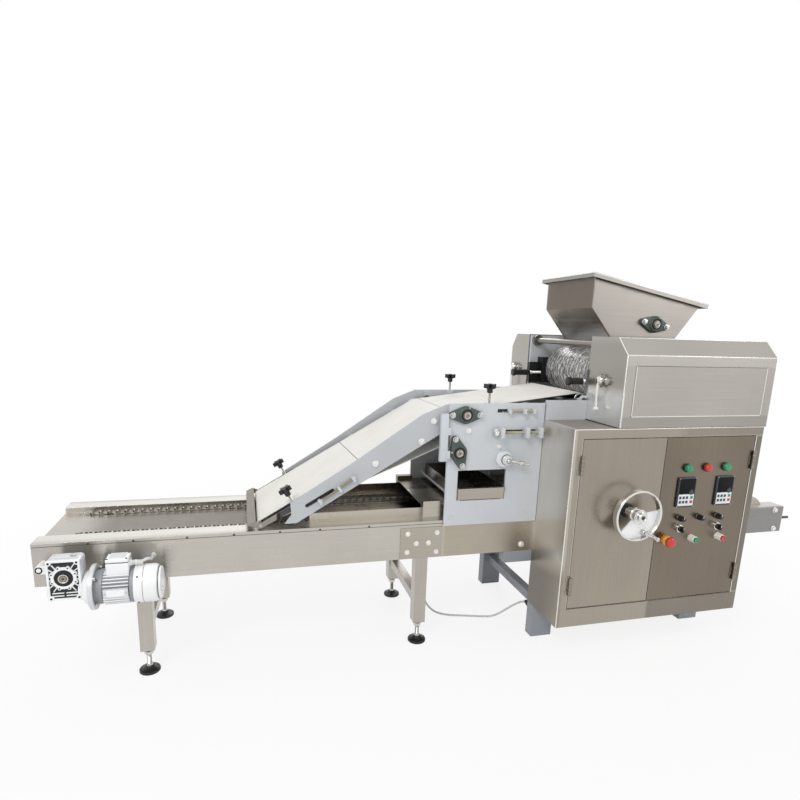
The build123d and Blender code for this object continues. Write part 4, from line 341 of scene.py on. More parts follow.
cap_yellow = finish("pale_yellow_collar", "e3c65a", 0.35, pebble=600, spread=0.08)
collar_white = finish("bright_button_collar", "f2f0ea", 0.3, 0.2, pebble=600, spread=0.05)
cable_white = finish("white_cable_sheath", "d9d9d6", 0.45, spread=0.06, relief=0.05)
cable_grey = finish("grey_cable_sheath", "d6d6d4", 0.45, spread=0.06, relief=0.05)


# Shape helpers: each returns one shape or outline in millimetres, with its own axis along Z
def settled(part):
    """A shape with its normals facing out."""
    bmesh.ops.recalc_face_normals(part, faces=part.faces[:])
    return part


def verts_of(grown):
    return [item for item in grown["geom"] if isinstance(item, bmesh.types.BMVert)]


def spun(line, steps, outline):
    """A line of vertices spun once round Z into a closed skin."""
    corners = [line.verts.new((radius, 0, height)) for radius, height in outline]
    sides = [line.edges.new(pair) for pair in zip(corners, corners[1:])]
    bmesh.ops.spin(line, geom=corners + sides, cent=(0, 0, 0), axis=(0, 0, 1), angle=math.tau,
                   steps=steps, use_merge=True)
    return line


def turned(outline, steps=40):
    """A turned shape from radius and height pairs."""
    part = spun(bmesh.new(), steps, outline)
    bmesh.ops.remove_doubles(part, verts=part.verts[:], dist=0.0005)
    return settled(part)


def disc(radius, high, low=0):
    return [(0, low), (radius, low), (radius, high), (0, high)]


def ring(inner, outer, low, high):
    return [(inner, low), (outer, low), (outer, high), (inner, high), (inner, low)]


def stud(radius, high, cut, soft, low=0):
    """Outline of a disc with its top rim chamfered."""
    return [(0, low), (radius, low), (radius, high - soft), (radius - cut, high), (0, high)]


def dome(radius, crown, rim, high):
    """Outline of a low screw head."""
    return [(0, 0), (radius, 0), (crown, rim), (0, high)]


def bevelled(part, edges, size, rounds=2):
    bmesh.ops.bevel(part, geom=edges, offset=size, segments=rounds, profile=0.5, affect="EDGES",
                    material=-1, clamp_overlap=True)
    return part


def top_edges(part, deep):
    return [e for e in part.edges if min(v.co.z for v in e.verts) > deep - 0.001]


def slab(wide, tall, deep, edge=1.0, rounds=2):
    """A block with softened edges, centred, from Z nought to its depth."""
    part = bmesh.new()
    bmesh.ops.create_cube(part, size=1.0)
    bmesh.ops.scale(part, vec=(wide, tall, deep), verts=part.verts[:])
    bmesh.ops.translate(part, vec=(0, 0, deep / 2), verts=part.verts[:])
    return bevelled(part, part.edges[:], edge, rounds)


def plate(outline, deep, edge=0.6, rounds=2):
    """A flat outline raised to its depth, with its rims softened."""
    part = bmesh.new()
    face = part.faces.new([part.verts.new((x, y, 0)) for x, y in outline])
    grown = bmesh.ops.extrude_face_region(part, geom=[face])
    bmesh.ops.translate(part, vec=(0, 0, deep), verts=verts_of(grown))
    settled(part)
    rims = [e for e in part.edges if abs(e.verts[0].co.z - e.verts[1].co.z) < 0.001]
    return bevelled(part, rims, edge, rounds)


def round_corners(wide, tall, radius, steps=5):
    """Outline of a rectangle with round corners."""
    outline = []
    for quarter in range(4):
        side_x = 1 if quarter in (0, 3) else -1
        side_y = 1 if quarter < 2 else -1
        for step in range(steps + 1):
            angle = math.pi / 2 * (quarter + step / steps)
            outline.append((side_x * (wide / 2 - radius) + radius * math.cos(angle),
                            side_y * (tall / 2 - radius) + radius * math.sin(angle)))
    return outline


def lobes(radius, swell, count, steps=60):
    """Outline of a hand knob with even lobes."""
    turns = [math.tau * step / steps for step in range(steps)]
    return [((radius + swell * math.cos(count * a)) * math.cos(a),
             (radius + swell * math.cos(count * a)) * math.sin(a)) for a in turns]


def thread(radius, low, high, pitch):
    """Outline of a threaded rod between two heights."""
    outline = [(0, low), (radius - 0.8, low)]
    for index in range(int((high - low) / pitch)):
        outline += [(radius - 0.8, low + index * pitch), (radius, low + (index + 0.5) * pitch)]
    return outline + [(radius - 0.8, high), (0, high)]


def round_bar(part, radius, deep, segments, place):
    return bmesh.ops.create_cone(part, cap_ends=True, segments=segments, radius1=radius, radius2=radius,
                                 depth=deep, matrix=place)["verts"]


def hex_head(wide, deep):
    part = bmesh.new()
    round_bar(part, wide / math.sqrt(3), deep, 6, Matrix.Translation((0, 0, deep / 2)))
    return bevelled(part, top_edges(part, deep), wide * 0.06, 2)


def hull_of_discs(discs, deep, edge):
    """One casting round several discs, each given by its X, Y and radius."""
    part = bmesh.new()
    for x, y, radius in discs:
        round_bar(part, radius, deep, 32, Matrix.Translation((x, y, deep / 2)))
    made = bmesh.ops.convex_hull(part, input=part.verts[:])
    spare = [v for v in made["geom_interior"] + made["geom_unused"] if isinstance(v, bmesh.types.BMVert)]
    bmesh.ops.delete(part, geom=spare, context="VERTS")
    bmesh.ops.dissolve_limit(part, angle_limit=0.02, verts=part.verts[:], edges=part.edges[:])
    settled(part)
    return bevelled(part, top_edges(part, deep), edge, 3)


def set_at(point, toward=UP, turned_by=0.0):
    """Where a shape sits: its Z axis along toward. Facing the front, its X is right and its Y up."""
    toward = Vector(toward).normalized()
    if abs(toward.z) > 0.999:
        lean = Matrix.Rotation(0.0 if toward.z > 0 else math.pi, 4, "X")
    else:
        lean = toward.to_track_quat("Z", "Y").to_matrix().to_4x4()
    return Matrix.Translation(point) @ lean @ Matrix.Rotation(turned_by, 4, "Z") @ Matrix.Scale(MM, 4)


def circle(count, first=0.0):
    """Even angles round a circle, the first one a share of a step on."""
    return [math.tau * (step + first) / count for step in range(count)]


def corners_of(reach_x, reach_y):
    return [(x, y) for x in (-reach_x, reach_x) for y in (-reach_y, reach_y)]


class Piece:
    """One object made of several shapes, each with its own finish."""

    def __init__(self, name, mesh=None):
        self.name = name
        self.mesh = mesh or bmesh.new()
        self.finishes = []

    def add(self, part, place, surface):
        if surface not in self.finishes:
            self.finishes.append(surface)
        for face in part.faces:
            face.material_index = self.finishes.index(surface)
        part.transform(place)
        shape = bpy.data.meshes.new("shape")
        part.to_mesh(shape)
        part.free()
        self.mesh.from_mesh(shape)
        bpy.data.meshes.remove(shape)

    def turn(self, outline, steps, place, surface):
        self.add(turned(outline, steps), place, surface)

    def bolt(self, point, toward, wide, deep, surface=screw_steel, turned_by=0.2):
        """A hexagon head on its washer."""
        thin = wide * 0.12
        head = Vector(point) + Vector(toward).normalized() * thin * MM
        self.turn(stud(wide * 0.72, thin, wide * 0.06, thin * 0.3), 24, set_at(point, toward), surface)
        self.add(hex_head(wide, deep), set_at(head, toward, turned_by), surface)

    def done(self, body, slot, *nodes, crease=32.0):
        for face in self.mesh.faces:
            face.smooth = True
        for edge in self.mesh.edges:
            if edge.calc_face_angle(0.0) > math.radians(crease):
                edge.smooth = False
        data = bpy.data.meshes.new(self.name)
        self.mesh.to_mesh(data)
        self.mesh.free()
        return placed(self.name, data, self.finishes, body, nodes)


def placed(name, data, surfaces, body, nodes):
    """Puts a mesh or curve in the scene, on its body, in place of its CAD nodes."""
    for surface in surfaces:
        data.materials.append(surface)
    made = bpy.data.objects.new(name, data)
    scene.collection.objects.link(made)
    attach(made, body)
    if nodes:
        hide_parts(*nodes)
    return made


def centre(name):
    low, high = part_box(name)
    return (low + high) / 2


# Cords: the supply lead on the floor and the short motor lead
def lead(name, route, thick, surface, cad_node):
    curve = bpy.data.curves.new(name, "CURVE")
    curve.dimensions = "3D"
    curve.bevel_depth = thick / 2
    curve.bevel_resolution = 4
    curve.resolution_u = 16
    curve.use_fill_caps = True
    line = curve.splines.new("NURBS")
    line.points.add(len(route) - 1)
    for point, place in zip(line.points, route):
        point.co = (*[c * MM for c in place], 1.0)
    line.order_u = 3
    line.use_endpoint_u = True
    made = placed(name, curve, [surface], "machine", [cad_node])


supply_route = [(-198, -74.25, 200), (-198, -44.25, 200), (-172, -20.25, 174), (-152, 1.75, 124),
                (-131, 17.75, 68), (-94, 26.75, 24), (-44, 27.75, 5), (16, 13.75, 4), (76, -6.25, 5),
                (117, -24.25, 10), (149, -40.25, 36), (185, -62.25, 74), (209, -86.25, 95),
                (209, -114.25, 95)]
motor_route = [(-1041, -191.25, 386), (-1025, -191.25, 386), (-1010, -177.25, 391), (-1003, -157.25, 378),
               (-1003, -124.25, 378)]
lead("supply_lead_cord", supply_route, 0.007, cable_grey, "supply_lead")
lead("motor_lead_cord", motor_route, 0.008, cable_white, "motor_lead")


def sleeve(hole, long, flare=2.6):
    """Tapered strain relief with grip ribs."""
    outline = [(hole, 0), (hole * flare, 0), (hole * flare, 5)]
    for step in range(4):
        height = 6 + (long - 8) * step / 4
        swell = hole * (flare - 0.2 - (flare - 1.8) * step / 4)
        outline += [(swell, height), (swell, height + 2.6), (swell - 0.8, height + 3.2),
                    (swell - 0.8, height + 4.4)]
    return turned(outline + [(hole * 1.35, long), (hole, long), (hole, 0)], 24)


reliefs = Piece("cord_strain_reliefs")
for shape, end, toward, surface in ((sleeve(3.6, 26), supply_route[0], BACK, black_plastic),
                                    (sleeve(3.6, 26), supply_route[-1], BACK, black_plastic),
                                    (sleeve(4.1, 21, 1.9), motor_route[0], RIGHT, cable_white),
                                    (sleeve(4.1, 12, 1.7), motor_route[-1], FRONT, cable_white)):
    reliefs.add(shape, set_at(Vector(end) * MM, toward), surface)
reliefs.done("machine", "black_plastic")


# Take-off belt: woven canvas stretched round its rollers
belt_thick = 2.0
belt_gap = 0.4
belt_middle = belt_gap + belt_thick / 2
bend_bar = Vector((-0.139, 0.0, 0.759))
belt_wraps = ((joint_at["rubber_turn"], 56.0), (joint_at["crest_turn"], 20.0), (bend_bar, 18.0),
              (joint_at["nose_turn"], 8.0))
return_radius = 25.0
seam_shares = {1: 0.95, 2: 0.462}
seam_skew = -0.035
seam_reach = 0.0014
longest_step = 0.05
longest_bend = 0.13
belt_strips = 8


def belt_runs(rounds):
    """Start, end and heading of each straight run from one round to the next."""
    runs = []
    for (here, r0), (there, r1) in zip(rounds, rounds[1:] + rounds[:1]):
        step = there - here
        heading = math.atan2(step.z, step.x) - math.asin((r1 - r0) / math.hypot(step.x, step.z))
        side = Vector((-math.sin(heading), 0, math.cos(heading)))
        runs.append((here - side * r0, there - side * r1, heading))
    return runs


def make_canvas(seams):
    material, tree, surface = new_material("off_white_woven_canvas", Sheen_Weight=0.25,
                                           Specular_IOR_Level=0.25)
    place = result(tree, "ShaderNodeUVMap", uv_map="UVMap")
    threads = [node(tree, "ShaderNodeTexWave", place, wave_type="BANDS", bands_direction=way, Scale=140.0,
                    Distortion=0.6, Detail=1.0, Detail_Scale=2.0).outputs["Fac"] for way in "XY"]
    weave = result(tree, "ShaderNodeMath", *threads, operation="MULTIPLY")
    dust = stretched(tree, grain(tree, place, Scale=9.0, Detail=5.0, Roughness=0.65), 0.32, 0.68)
    shown = blended(tree, toned("e0ddd6"), toned("eeece6"), blended(tree, dust, weave, 0.35), "RGBA")
    # Sewn seams across the belt, a little out of square
    along = node(tree, "ShaderNodeSeparateXYZ", place).outputs
    skewed = result(tree, "ShaderNodeMath", along["Y"], seam_skew, along["X"], operation="MULTIPLY_ADD")
    for seam in seams:
        near = result(tree, "ShaderNodeMath", skewed, seam, seam_reach, operation="COMPARE")
        shown = blended(tree, shown, toned("7c7770"), near, "RGBA")
    feed(tree, surface["Base Color"], shown)
    feed(tree, surface["Roughness"], spanned(tree, dust, 0.72, 0.92))
    bumped(tree, surface, weave, 0.35, 0.25)
    return material


belt_low, belt_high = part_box("takeoff_belt")
# The belt passes outside the return roller, so that radius is negative
rounds = [(hub, (radius + belt_middle) * MM) for hub, radius in belt_wraps]
rounds.append((joint_at["return_turn"], -(return_radius + belt_middle) * MM))
runs = belt_runs(rounds)
belt = bmesh.new()
walked = belt.verts.layers.float.new("walked")
tip = belt.verts.new((runs[0][0].x, belt_low.y, runs[0][0].z))
distance = 0.0
belt_seams = []
for index, (start, end, heading) in enumerate(runs):
    following = (index + 1) % len(runs)
    hub, radius = rounds[following]
    run = Vector((end.x - start.x, 0, end.z - start.z))
    if index in seam_shares:
        belt_seams.append(distance + run.length * seam_shares[index])
    pieces = max(1, round(run.length / longest_step))
    bend = (runs[following][2] - heading + math.pi) % math.tau - math.pi
    steps = max(3, math.ceil(abs(bend) / longest_bend))
    for step in range(pieces + steps):
        grown = bmesh.ops.extrude_vert_indiv(belt, verts=[tip])["verts"]
        if step < pieces:
            bmesh.ops.translate(belt, vec=run / pieces, verts=grown)
            distance += run.length / pieces
        else:
            bmesh.ops.rotate(belt, cent=(hub.x, 0, hub.z), matrix=Matrix.Rotation(-bend / steps, 3, "Y"),
                             verts=grown)
            distance += abs(bend * radius) / steps
        tip = grown[0]
        tip[walked] = distance
belt_length = distance
bmesh.ops.remove_doubles(belt, verts=belt.verts[:], dist=1e-5)
rim = belt.edges[:]
for strip in range(belt_strips):
    grown = bmesh.ops.extrude_edge_only(belt, edges=rim)
    rim = [item for item in grown["geom"] if isinstance(item, bmesh.types.BMEdge)]
    bmesh.ops.translate(belt, vec=(0, (belt_high.y - belt_low.y) / belt_strips, 0), verts=verts_of(grown))
bmesh.ops.solidify(settled(belt), geom=belt.faces[:], thickness=belt_thick * MM)
settled(belt)
cloth_map = belt.loops.layers.uv.new("UVMap")
for face in belt.faces:
    spans = [loop.vert[walked] for loop in face.loops]
    for loop, span in zip(face.loops, spans):
        wraps = max(spans) - min(spans) > belt_length / 2 and span < belt_length / 2
        loop[cloth_map].uv = (span + (belt_length if wraps else 0.0), loop.vert.co.y)
canvas = Piece("canvas_takeoff_belt", belt)
canvas.finishes.append(make_canvas(belt_seams))
canvas_belt = canvas.done("machine", "canvas", "takeoff_belt")


# Clear film crinkled round the mould roller, its colour dark in the folds and pale on the ridges: painted
# shade and highlight
def make_film():
    material, tree, surface = new_material("crinkled_clear_film", Metallic=0.3, Coat_Weight=0.3,
                                           Coat_Roughness=0.2)
    place = node(tree, "ShaderNodeTexCoord").outputs["Object"]
    rings = node(tree, "ShaderNodeTexWave", place, wave_type="BANDS", bands_direction="Y", Scale=17.0,
                 Distortion=13.0, Detail=4.0, Detail_Scale=1.3, Detail_Roughness=0.65)
    lean = result(tree, "ShaderNodeMapping", place, Scale=(1.0, 1.6, 1.0), Rotation=(0.5, 0.0, 0.35))
    folds = node(tree, "ShaderNodeTexVoronoi", lean, feature="DISTANCE_TO_EDGE", Scale=30.0)
    ridge = stretched(tree, folds.outputs["Distance"], 0.0, 0.12)
    fine = stretched(tree, rings.outputs["Fac"], 0.1, 0.9)
    relief = blended(tree, fine, ridge, 0.35)
    # The colour follows the relief: painted shade in the folds, painted highlight on the ridges
    tone = node(tree, "ShaderNodeValToRGB", relief)
    ramp = tone.color_ramp.elements
    ramp[0].color = toned("4b4a48")
    ramp[1].color = toned("d2d2d0")
    for step, code in ((0.3, "777674"), (0.75, "a3a2a0")):
        ramp.new(step).color = toned(code)
    feed(tree, surface["Base Color"], tone.outputs["Color"])
    feed(tree, surface["Roughness"], spanned(tree, fine, 0.24, 0.4))
    bumped(tree, surface, relief, 0.9, 2.2)
    return material


mould_axis = joint_at["mould_turn"]
mould_radius = 85.0
mould_low = -0.09725
mould_high = 0.24075
film_gap = 0.3
film_rise = 1.2
film_bands = 64
film_long = (mould_high - mould_low) / MM
wrap = settled(spun(bmesh.new(), 120, [(mould_radius + film_gap, film_long * step / film_bands)
                                       for step in range(film_bands + 1)]))
for point in wrap.verts:
    swirl = Vector((point.co.x * 0.014, point.co.y * 0.014, point.co.z * 0.085))
    crease = 1 - abs(noise.noise(swirl)) * 2.6
    lift = film_rise * max(0.0, min(1.0, crease))
    point.co.xy *= (mould_radius + film_gap + lift) / mould_radius
film = Piece("film_on_mould_roller")
film.add(wrap, set_at((mould_axis.x, mould_high, mould_axis.z), FRONT), make_film())
film.done("mould_roller", "bronze", crease=80)


# Carrying chains: rows of plates and rollers along the band's path
chain_radius = 0.052
chain_width = 0.014
chain_pitch = 0.0127
drive_axis = joint_at["chain_drive_turn"]
tail_axis = joint_at["chain_tail_turn"]
chain_low, chain_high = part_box("conveyor_chains")
straight = tail_axis.x - drive_axis.x
loop_length = 2 * straight + math.tau * chain_radius
pitches = 2 * round(loop_length / chain_pitch / 2)


def chain_link(outer):
    """One pitch of roller chain, lying along X, with its pin across Y."""
    part = bmesh.new()
    across_y = Matrix.Rotation(math.pi / 2, 4, "X")
    gap = 6.0 if outer else 4.4
    for side in (-gap, gap):
        made = round_bar(part, 5.6, 1.4, 8, Matrix.Translation((0, side, 0)) @ across_y)
        bmesh.ops.scale(part, vec=(1.62, 1, 0.8), verts=made)
    round_bar(part, 4.0, 13.4 if outer else 9.0, 8, Matrix.Translation((6.35, 0, 0)) @ across_y)
    return settled(part)


def chain_spot(walk):
    """Place and lean of the chain after a walk along its loop."""
    arc = math.pi * chain_radius
    if walk < straight:
        return drive_axis.x + walk, drive_axis.z + chain_radius, 0.0
    if straight + arc <= walk < 2 * straight + arc:
        return tail_axis.x - (walk - straight - arc), tail_axis.z - chain_radius, math.pi
    if walk < straight + arc:
        hub = tail_axis
        lean = (walk - straight) / chain_radius
    else:
        hub = drive_axis
        lean = math.pi + (walk - 2 * straight - arc) / chain_radius
    return hub.x + chain_radius * math.sin(lean), hub.z + chain_radius * math.cos(lean), lean


chains = Piece("roller_chains")
for y in (chain_low.y + chain_width / 2, chain_high.y - chain_width / 2):
    for index in range(pitches):
        x, z, lean = chain_spot(loop_length * index / pitches)
        spot = Matrix.Translation((x, y, z)) @ Matrix.Rotation(lean, 4, "Y") @ Matrix.Scale(MM, 4)
        # Alternate links in the lighter and the darker copy of one steel: painted light and shade
        chains.add(chain_link(index % 2 == 0), spot, chain_shaded if index % 2 else chain_steel)
chains.done("machine", "black_steel", "conveyor_chains")


# Conveyor gearmotor: ribbed worm gearbox, bell neck, finned motor, cowl, terminal box and torque arm
trough_low, trough_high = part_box("conveyor_trough")
beam_front = trough_low.y
beam_back = trough_high.y
beam_sides = ((beam_front, FRONT), (beam_back, BACK))
gear_x = drive_axis.x
shaft_z = drive_axis.z
gear_back = beam_front - 0.036
gear_front = gear_back - 0.062
gear_face = gear_front + 0.006
gear_drop = -6.5
gear_middle = shaft_z + gear_drop * MM
motor_axis = Vector((0, (gear_front + gear_back) / 2, shaft_z - 0.043))
gear_right = gear_x + 0.041
flange_at = gear_right + 0.018
motor_start = flange_at + 0.012
cowl_start = motor_start + 0.097


def on_gear(x=0, z=0, rise=0.0, turned_by=0.0):
    """A place on the gearbox face, in millimetres from its shaft."""
    return set_at((gear_x + x * MM, gear_face - rise * MM, shaft_z + z * MM), FRONT, turned_by)


def on_motor(x, toward=RIGHT):
    return set_at(Vector((x, 0, 0)) + motor_axis, toward)


def beside_motor(x, angle, radius):
    """A place on the motor's skin, facing outward."""
    out = Vector((0, math.cos(angle), math.sin(angle)))
    return set_at(Vector((x, 0, 0)) + motor_axis + out * radius * MM, out)


gearmotor = Piece("conveyor_gearmotor_detailed")
gearmotor.add(plate(round_corners(82, 111, 9), 50, 3.0, 3),
              set_at((gear_x, gear_back - 0.006, gear_middle), FRONT), alloy)
# A dark plate behind the face's ribs: painted shade in its recesses
gearmotor.add(plate(round_corners(72, 101, 7), 0.5, 0.2, 1), on_gear(0, gear_drop), painted_shade_grey)
for side in (-1, 1):
    gearmotor.add(slab(6, 109, 4.5, 1.6), on_gear(side * 37.6, gear_drop), alloy_pale)
    gearmotor.add(slab(76, 5.4, 4.5, 1.6), on_gear(0, gear_drop + side * 52.4), alloy_pale)
    for rise, long in ((-50, 66), (-42, 62)):
        gearmotor.add(slab(long / 2 - 3, 2.8, 3.4, 0.9), on_gear(side * (long / 4 + 1), rise), alloy_pale)
    for angle in (0.16, 0.62, 0.95, -0.16, -0.62, -0.95):
        way = math.pi / 2 - side * (math.pi / 2 - angle)
        long = 9 if abs(angle) < 0.5 else 17
        middle = 29 + long / 2
        gearmotor.add(slab(long, 2.8, 4.0, 0.9),
                      on_gear(middle * math.cos(way), middle * math.sin(way), 0, way), alloy_pale)
    for z in (42.5, -55.5):
        gearmotor.turn(stud(6.8, 5.4, 1.0, 0.8), 24, on_gear(side * 33.2, z), alloy_pale)
        # Dark discs on the bosses: painted shade in the bolt holes
        gearmotor.turn(disc(3.0, 0.5), 16, on_gear(side * 33.2, z, 5.3), painted_shade_grey)
gearmotor.turn([(22.6, 0), (30.4, 0), (30.4, 4.8), (29.4, 5.8), (24, 5.8), (22.6, 4.8), (22.6, 0)], 64,
               on_gear(), alloy_pale)
for angle in circle(8, 0.5):
    spot = (30.2 * math.cos(angle), 30.2 * math.sin(angle))
    gearmotor.turn(stud(4.8, 5.9, 0.8, 0.9), 20, on_gear(*spot), alloy_pale)
    # Dark discs on the ring bosses: painted shade in the bolt holes
    gearmotor.turn(disc(2.1, 0.6), 16, on_gear(*spot, 5.7), painted_shade_grey)
gearmotor.turn([(12.7, 1), (22.8, 1), (22.8, 5.0), (21.4, 5.5), (19.6, 4), (17.2, 4), (15.6, 5.6),
                (12.7, 5.6), (12.7, 1)], 64, on_gear(), black_rubber)
for drop in (12, 24, 36):
    rib = (gear_x - 0.0408, gear_face + drop * MM, gear_middle)
    gearmotor.add(slab(96, 3.0, 2.4, 0.9), set_at(rib, LEFT, math.pi / 2), alloy)
for y in (motor_axis.y - 0.012, motor_axis.y + 0.012):
    gearmotor.add(slab(66, 3.0, 2.4, 0.9), set_at((gear_x, y, gear_middle + 0.0553), UP), alloy)
gearmotor.turn([(0, 0), (22, 0), (22, 3.4), (20, 5), (12, 5), (10, 3.6), (0, 3.6)], 40,
               on_motor(gear_x - 0.041, LEFT), alloy_pale)
gearmotor.bolt((gear_x + 0.020, motor_axis.y, gear_middle + 0.0555), UP, 12.0, 5.0)
gearmotor.turn([(0, -10), (30, -10), (34, -2), (42, 3), (46, 9), (48.6, 16), (50, 18.4), (0, 18.4)], 64,
               on_motor(gear_right), alloy_pale)
gearmotor.turn([(0, 0), (59.6, 0), (61.5, 1.6), (61.5, 10.4), (59.8, 12), (53, 12), (51, 10.4),
                (0, 10.4)], 72, on_motor(flange_at), alloy)
for angle in circle(4, 0.5):
    rim = Vector((flange_at + 0.0118, 0, 0)) + motor_axis
    gearmotor.bolt(rim + Vector((0, math.cos(angle), math.sin(angle))) * 0.0545, RIGHT, 9.0, 5.0)
gearmotor.turn([(0, -1), (46, -1), (46, 9), (47, 11), (47, 19), (45, 21), (42, 23), (42, 84), (44.6, 86.4),
                (49, 88), (49, 97), (0, 97)], 72, on_motor(motor_start), motor_core_painted_shade)
fin_middle = motor_start + 0.0535
fin_foot = 40.5
fin_clear = 0.27
front_pad = math.radians(183)
rear_pad = math.radians(357)
low_pad = math.radians(250)
pads = (math.pi / 2, front_pad, low_pad, rear_pad)
for angle in circle(34):
    if min(abs((angle - spot + math.pi) % math.tau - math.pi) for spot in pads) >= fin_clear:
        gearmotor.add(slab(64, 2.6, 10.5, 0.9, 1), beside_motor(fin_middle, angle, fin_foot), alloy_pale)
for angle, wide in ((front_pad, 25), (rear_pad, 25), (low_pad, 18)):
    gearmotor.add(slab(62, wide, 8.6, 1.6), beside_motor(fin_middle, angle, fin_foot), alloy)
gearmotor.add(slab(44, 17, 0.7, 0.3, 1), beside_motor(fin_middle, front_pad, 48.9), alloy_pale)
for x in (fin_middle - 0.026, fin_middle + 0.026):
    gearmotor.turn(dome(2.6, 2.4, 1.4, 1.8), 16, beside_motor(x, front_pad, 48.9), screw_steel)
cowl = [(0, 0), (51.4, 0), (52, 1), (52, 22), (51.5, 22.6), (51.5, 23.4), (52, 24), (52, 49), (51, 54),
        (48.6, 57.4), (44.6, 59), (44, 60), (44, 65.4), (42.6, 67)]
for outer, inner in ((36, 32), (27, 23), (17, 13)):
    cowl += [(outer, 67), (outer, 64.8), (inner, 64.8), (inner, 67)]
gearmotor.turn(cowl + [(0, 67)], 72, on_motor(cowl_start), alloy_pale)
# Thin dark rings in the cowl's groove and at its step: painted shade
gearmotor.turn(ring(51.2, 51.8, 0, 1.0), 72, on_motor(cowl_start + 0.0225), dark_steel_and_shade)
gearmotor.turn(ring(43.6, 44.6, 0, 2.4), 72, on_motor(cowl_start + 0.0592), dark_steel_and_shade)
for angle in (0.8, 2.4, 4.0, 5.5):
    gearmotor.turn(dome(3.2, 2.8, 1.6, 2), 16, beside_motor(cowl_start + 0.010, angle, 51.8), dark_steel_and_shade)
box_x = motor_start + 0.0565
box_top = motor_axis.z + 0.084


def on_box(rise, x=0.0, y=0.0):
    """A place on the terminal box, its height measured from the lid's top."""
    return set_at((box_x + x, motor_axis.y + y, box_top + rise), UP)


gearmotor.add(slab(57, 50, 46, 3.0, 3), on_box(-0.058), alloy_pale)
# A dark slab between the box and its lid: painted shade in the gap
gearmotor.add(slab(55, 48, 1.8, 0.3, 1), on_box(-0.0128), painted_shade_grey)
gearmotor.add(slab(57, 50, 11.2, 3.2, 3), on_box(-0.0112), alloy_pale)
gearmotor.add(slab(40, 34, 1.2, 0.4, 1), on_box(-0.0008), alloy)
for x, y in corners_of(0.0240, 0.0206):
    gearmotor.turn([(0, 0), (3.2, 0), (3.2, 0.7), (2.4, 1.4), (0, 1.6)], 16, on_box(-0.0004, x, y),
                   dark_steel_and_shade)
gland = Vector((box_x + 0.0275, motor_axis.y, motor_axis.z + 0.062))
gearmotor.add(hex_head(15, 6), set_at(gland, RIGHT), alloy_pale)
gearmotor.turn(stud(7, 6.5, 1.2, 2.5), 24, set_at(gland + RIGHT * 0.0057, RIGHT), cable_white)
arm_eye = Vector((-1.283, gear_back, shaft_z + 0.004))
gearmotor.add(hull_of_discs([(0, 0, 11), (70, -4, 13)], 6, 1.4), set_at(arm_eye + FRONT * 0.002, FRONT),
              alloy_pale)
gearmotor.turn([(5, 0), (11, 0), (11, 42), (9.8, 44), (6, 44), (5, 43), (5, 0)], 40,
               set_at(arm_eye + BACK * 0.036, FRONT), alloy_pale)
# A dark disc in the arm's eye: painted shade in the hole
gearmotor.turn(disc(5.2, 0.8), 24, set_at(arm_eye + FRONT * 0.0066, FRONT), painted_shade_grey)
gearmotor.done("machine", "alloy", "conveyor_gearmotor")


# Turned end faces of the shafts, and the crest roller's rims: a pale ring of painted highlight round a dark
# ring of painted shade
def shaft_end(body, hub, y, toward, reach):
    """Turned face, centre hole and groove on the end of a shaft, their floor a dark disc of painted shade."""
    face = Piece(body + "_end_face_" + ("front" if toward == FRONT else "back"))
    spot = set_at((hub.x, y, hub.z), toward)
    bands = (((0.74, -0.2), (1, -0.2), (1, 0.5), (0.94, 0.9), (0.78, 0.9), (0.74, 0.5), (0.74, -0.2)),
             ((0, -0.2), (0.75, -0.2), (0.75, 0.2), (0, 0.2)),
             ((0.26, 0.1), (0.64, 0.1), (0.64, 0.6), (0.58, 0.9), (0.3, 0.9), (0.26, 0.6), (0.26, 0.1)))
    for band, surface in zip(bands, (screw_steel, dark_steel_and_shade, race_steel)):
        face.turn([(reach * share, height) for share, height in band], 40, spot, surface)
    face.done(body, "steel")


shaft_end("chain_drive_shaft", drive_axis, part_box("chain_drive_shaft")[0].y, FRONT, 12.5)
crest_hub = joint_at["crest_turn"]
crest_rings = Piece("crest_roller_rims")
for y, toward in ((-0.0984, FRONT), (0.2299, BACK)):
    spot = set_at((crest_hub.x, y, crest_hub.z), toward)
    crest_rings.turn([(15.6, -0.2), (19.9, -0.2), (19.9, 0.8), (19.2, 1.5), (16.4, 1.5), (15.6, 0.8),
                      (15.6, -0.2)], 56, spot, painted_highlight)
    crest_rings.turn(ring(10.4, 15.7, -0.2, 0.4), 56, spot, painted_shade_grey)
crest_rings.done("crest_roller", "steel")


# Levelling feet: moulded pads, threaded stems and lock nuts
feet_low, feet_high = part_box("levelling_feet")
feet_middle = centre("levelling_feet")
foot_reach = 0.030
stem_rise = (feet_high.z - feet_low.z) / MM
feet = Piece("levelling_feet_detailed")
for x, y in corners_of(feet_high.x - foot_reach - feet_middle.x, feet_high.y - foot_reach - feet_middle.y):
    base = Vector((feet_middle.x + x, feet_middle.y + y, feet_low.z))
    feet.turn([(0, 0.6), (22, 0.6), (22, 0), (28.6, 0), (30, 1.4), (30, 7), (29, 8.6), (26, 9.6),
               (17, 12.6), (13.4, 15.6), (12.8, 18), (11.6, 19), (0, 19)], 48, set_at(base), black_plastic)
    feet.turn(thread(7.0, 19, stem_rise, 1.75), 24, set_at(base), screw_steel)
    feet.add(hex_head(17, 6), set_at(base + UP * 0.019, UP, 0.3), screw_steel)
    feet.add(hex_head(22, 9), set_at(base + UP * (stem_rise - 18) * MM, UP, 0.5), screw_steel)
    feet.turn(ring(7, 13, 0, 1.6), 28, set_at(base + UP * (stem_rise - 9) * MM), screw_steel)
feet.done("machine", "black_plastic", "levelling_feet")


